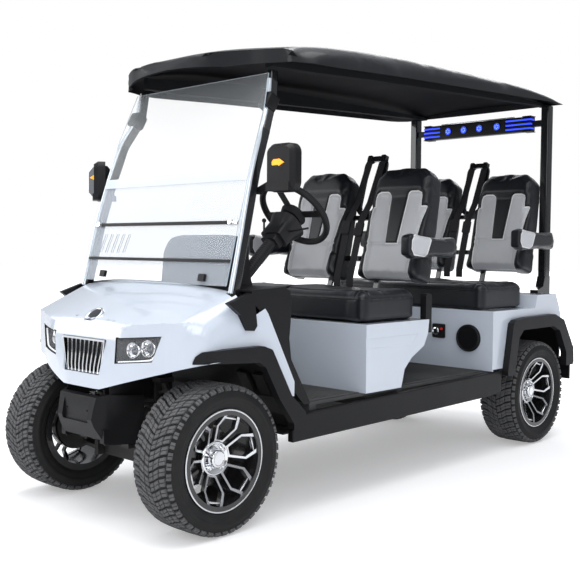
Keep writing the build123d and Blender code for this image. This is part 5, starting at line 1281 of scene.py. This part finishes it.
BRACKET_X, BRACKET_Y, BRACKET_LEVELS = (0.330, 0.386), (1.311, 1.376), (1.812, 1.903)
roof_gloss = finish("roof_gloss_black", (0.010, 0.011, 0.012), 0.36, coat=0.12, mottle=(1.5, 0.10),
                    grain=(350.0, 0.0002), second=(0.018, 0.019, 0.022))
roof_matt = finish("roof_underside", (0.006, 0.006, 0.007), 0.75, mottle=(3.0, 0.2), grain=(300.0, 0.0004))
tune(roof_matt.node_tree.nodes["Principled BSDF"], Specular_IOR_Level=0.05)
canopy = softened(dressed("roof", "roof_panel", "roof_black", roof_gloss, edge=0.0, flat=0.1), 0.028, 10)
for point in canopy.data.vertices:
    front = min(1.0, max(0.0, (ROOF_CORNER_START - point.co.y) / ROOF_CORNER_LENGTH))
    outer = min(1.0, max(0.0, (abs(point.co.x) - ROOF_CORNER_INNER) / ROOF_CORNER_WIDTH))
    share = smooth_step(front) * smooth_step(outer)
    skirt = min(1.0, max(0.0, (ROOF_SKIRT_TOP - point.co.z) / ROOF_SKIRT_HEIGHT))
    point.co.x -= copysign(ROOF_CORNER_IN, point.co.x) * share
    point.co.y += ROOF_CORNER_BACK * share
    point.co.z += ROOF_CORNER_UP * share * skirt
canopy.data.update()
canopy.data.materials.append(roof_matt)
for face in canopy.data.polygons:
    if face.normal.z < UNDERSIDE:
        face.material_index = 1
dressed("rear_posts", "rear_roof_posts", "black_steel", gloss_steel, edge=0.003)
dressed("light_bar", "light_bar_case", "dark_plastic", grained_plastic, edge=0.004)
blue_glow = glow("blue_light", (0.03, 0.07, 0.95), 1.4)
pale_blue = glow("light_core", (0.30, 0.45, 1.0), 1.2)
core_mesh = spun(LIGHT_CORE, 12)
lit = []
for x in ROUND_LIGHTS:
    middle = Vector((x, LIGHT_Y, LIGHT_Z))
    cores = evaluated(core_mesh, RING, Count=CORES, Radius=CORE_CIRCLE, Phase=0.0, Material=pale_blue)
    cores.transform(Matrix.Translation((x, LIGHT_Y - 0.0035, LIGHT_Z)) @ TO_FRONT)
    lit.append(turned(LIGHT_RIM, middle, FORWARD, 40, display_glass))
    lit.append(turned(LIGHT_DISC, middle, FORWARD, 40, blue_glow))
    lit.append(cores)
for z in STRIP_LEVELS:
    wrapped_ends = [(sorted(side * end for end in STRIP_ENDS), STRIP_END_Y) for side in SIDES]
    for x, y in (*[(run, STRIP_Y) for run in STRIP_RUNS], *wrapped_ends):
        lit.append(slab(x, y, (z - STRIP_HALF, z + STRIP_HALF), 0.001, material=blue_glow))
bring_in("light_bar_lights", joined(lit, "lights"), "light_bar")
rail = [slab(*RAIL, 0.0015, material=chrome)]
rail += [slab(sorted(side * x for x in BRACKET_X), BRACKET_Y, (z, z + 0.005), material=grained_plastic)
         for side in SIDES for z in BRACKET_LEVELS]
bring_in("light_bar_rail", joined(rail, "rail"), "light_bar")

# -------------------- floor, lights and camera
# A pale seamless floor with a broad soft shadow, cast by the lamps and deepened by a painted darkening of the
# floor's glow near the cart, a large overhead softbox, a key panel, a fill panel and a back panel. The floor
# and the world look white to the camera but light the cart more gently than that.
FLOOR_CORNERS = ((-40, -40, 0), (40, -40, 0), (40, 40, 0), (-40, 40, 0))
SOFTBOXES = (                          # (name, place, aimed at, size, power)
    ("overhead", (0.5, -1.0, 5.5), (0.0, 0.0, 0.6), 5.0, 250.0),
    ("key", (4.5, -4.5, 3.2), (0.0, -0.3, 0.8), 3.0, 88.0),
    ("fill", (-4.0, -4.0, 2.6), (0.0, -0.6, 0.8), 3.0, 80.0),
    ("back", (-2.5, 4.5, 3.5), (0.0, 0.5, 1.0), 3.0, 90.0),
)
CAMERA_PLACE = Vector((3.080, -3.596, 1.104))
YAW, PITCH, ROLL = radians(43.53), radians(-2.66), radians(0.477)
SENSOR, FOCAL_SHARE = 36.0, 900.2 / 580          # width of the sensor, and the focal length in such widths
studio_floor = bpy.data.meshes.new("studio_floor")
studio_floor.from_pydata(FLOOR_CORNERS, [], [(0, 1, 2, 3)])
floor_piece = placed("studio_floor", studio_floor)
floor_white, nodes, links, base = add_material("studio_white")
studio_floor.materials.append(floor_white)
tune(base, Base_Color=(0.80, 0.80, 0.81, 1.0), Roughness=0.95, Emission_Color=(1.0, 1.0, 1.0, 1.0))
spot, reach, fade = (nodes.new(f"ShaderNode{kind}") for kind in ("TexCoord", "VectorMath", "MapRange"))
reach.operation = "LENGTH"
# the floor glows more with distance from the cart, so it is darker near it: a painted broad soft shadow
tune(fade, From_Min=1.6, From_Max=4.2, To_Min=0.34, To_Max=1.2)
links.new(spot.outputs["Object"], reach.inputs[0])
links.new(reach.outputs["Value"], fade.inputs["Value"])
# away from the camera's own sight the floor glows less, so that it does not light the sides from below
sight, share, strength = (nodes.new(f"ShaderNode{kind}") for kind in ("LightPath", "Math", "Math"))
share.operation, strength.operation = "MULTIPLY_ADD", "MULTIPLY"
share.inputs[1].default_value, share.inputs[2].default_value = 0.68, 0.32
links.new(sight.outputs["Is Camera Ray"], share.inputs[0])
links.new(share.outputs[0], strength.inputs[0])
links.new(fade.outputs["Result"], strength.inputs[1])
links.new(strength.outputs[0], base.inputs["Emission Strength"])

world = bpy.data.worlds.new("studio")
bpy.context.scene.world = world
world.use_nodes = True
nodes, links = world.node_tree.nodes, world.node_tree.links
surroundings = nodes["Background"]
tune(surroundings, Color=(0.92, 0.95, 1.0, 1.0))
# brighter overhead than at the horizon, as under an open sky
view, height, sky = (nodes.new(f"ShaderNode{kind}") for kind in ("TexCoord", "SeparateXYZ", "MapRange"))
tune(sky, From_Min=0.0, From_Max=0.7, To_Min=0.20, To_Max=0.70)
links.new(view.outputs["Generated"], height.inputs[0])
links.new(height.outputs["Z"], sky.inputs["Value"])
links.new(sky.outputs["Result"], surroundings.inputs["Strength"])
# the camera sees a white backdrop, also through clear sheets
backdrop, ray, seen, which = (nodes.new(f"ShaderNode{kind}") for kind in ("Background", "LightPath", "Math",
                                                                          "MixShader"))
tune(backdrop, Color=(1.0, 1.0, 1.0, 1.0))
seen.operation = "MAXIMUM"
links.new(ray.outputs["Is Camera Ray"], seen.inputs[0])
links.new(ray.outputs["Is Transmission Ray"], seen.inputs[1])
for socket, source in enumerate((seen, surroundings, backdrop)):
    links.new(source.outputs[0], which.inputs[socket])
links.new(which.outputs[0], nodes["World Output"].inputs[0])

for name, place, aim, size, power in SOFTBOXES:
    lamp = bpy.data.lights.new(name, "AREA")
    lamp.shape, lamp.size, lamp.energy = "SQUARE", size, power
    stand = placed(name, lamp)
    stand.location = place
    stand.rotation_euler = (Vector(aim) - Vector(place)).to_track_quat("-Z", "Y").to_euler()

ahead = Vector((-sin(YAW) * cos(PITCH), cos(YAW) * cos(PITCH), sin(PITCH)))
level = Vector((cos(YAW), sin(YAW), 0.0))
across = level * cos(ROLL) + level.cross(ahead) * sin(ROLL)
camera = bpy.data.cameras.new("camera")
camera.lens, camera.sensor_width = FOCAL_SHARE * SENSOR, SENSOR
viewer = placed("camera", camera)
aim = Matrix((across, across.cross(ahead), -ahead)).transposed().to_4x4()
viewer.matrix_world = Matrix.Translation(CAMERA_PLACE) @ aim
bpy.context.scene.camera = viewer
bpy.context.scene.view_settings.view_transform = "Standard"
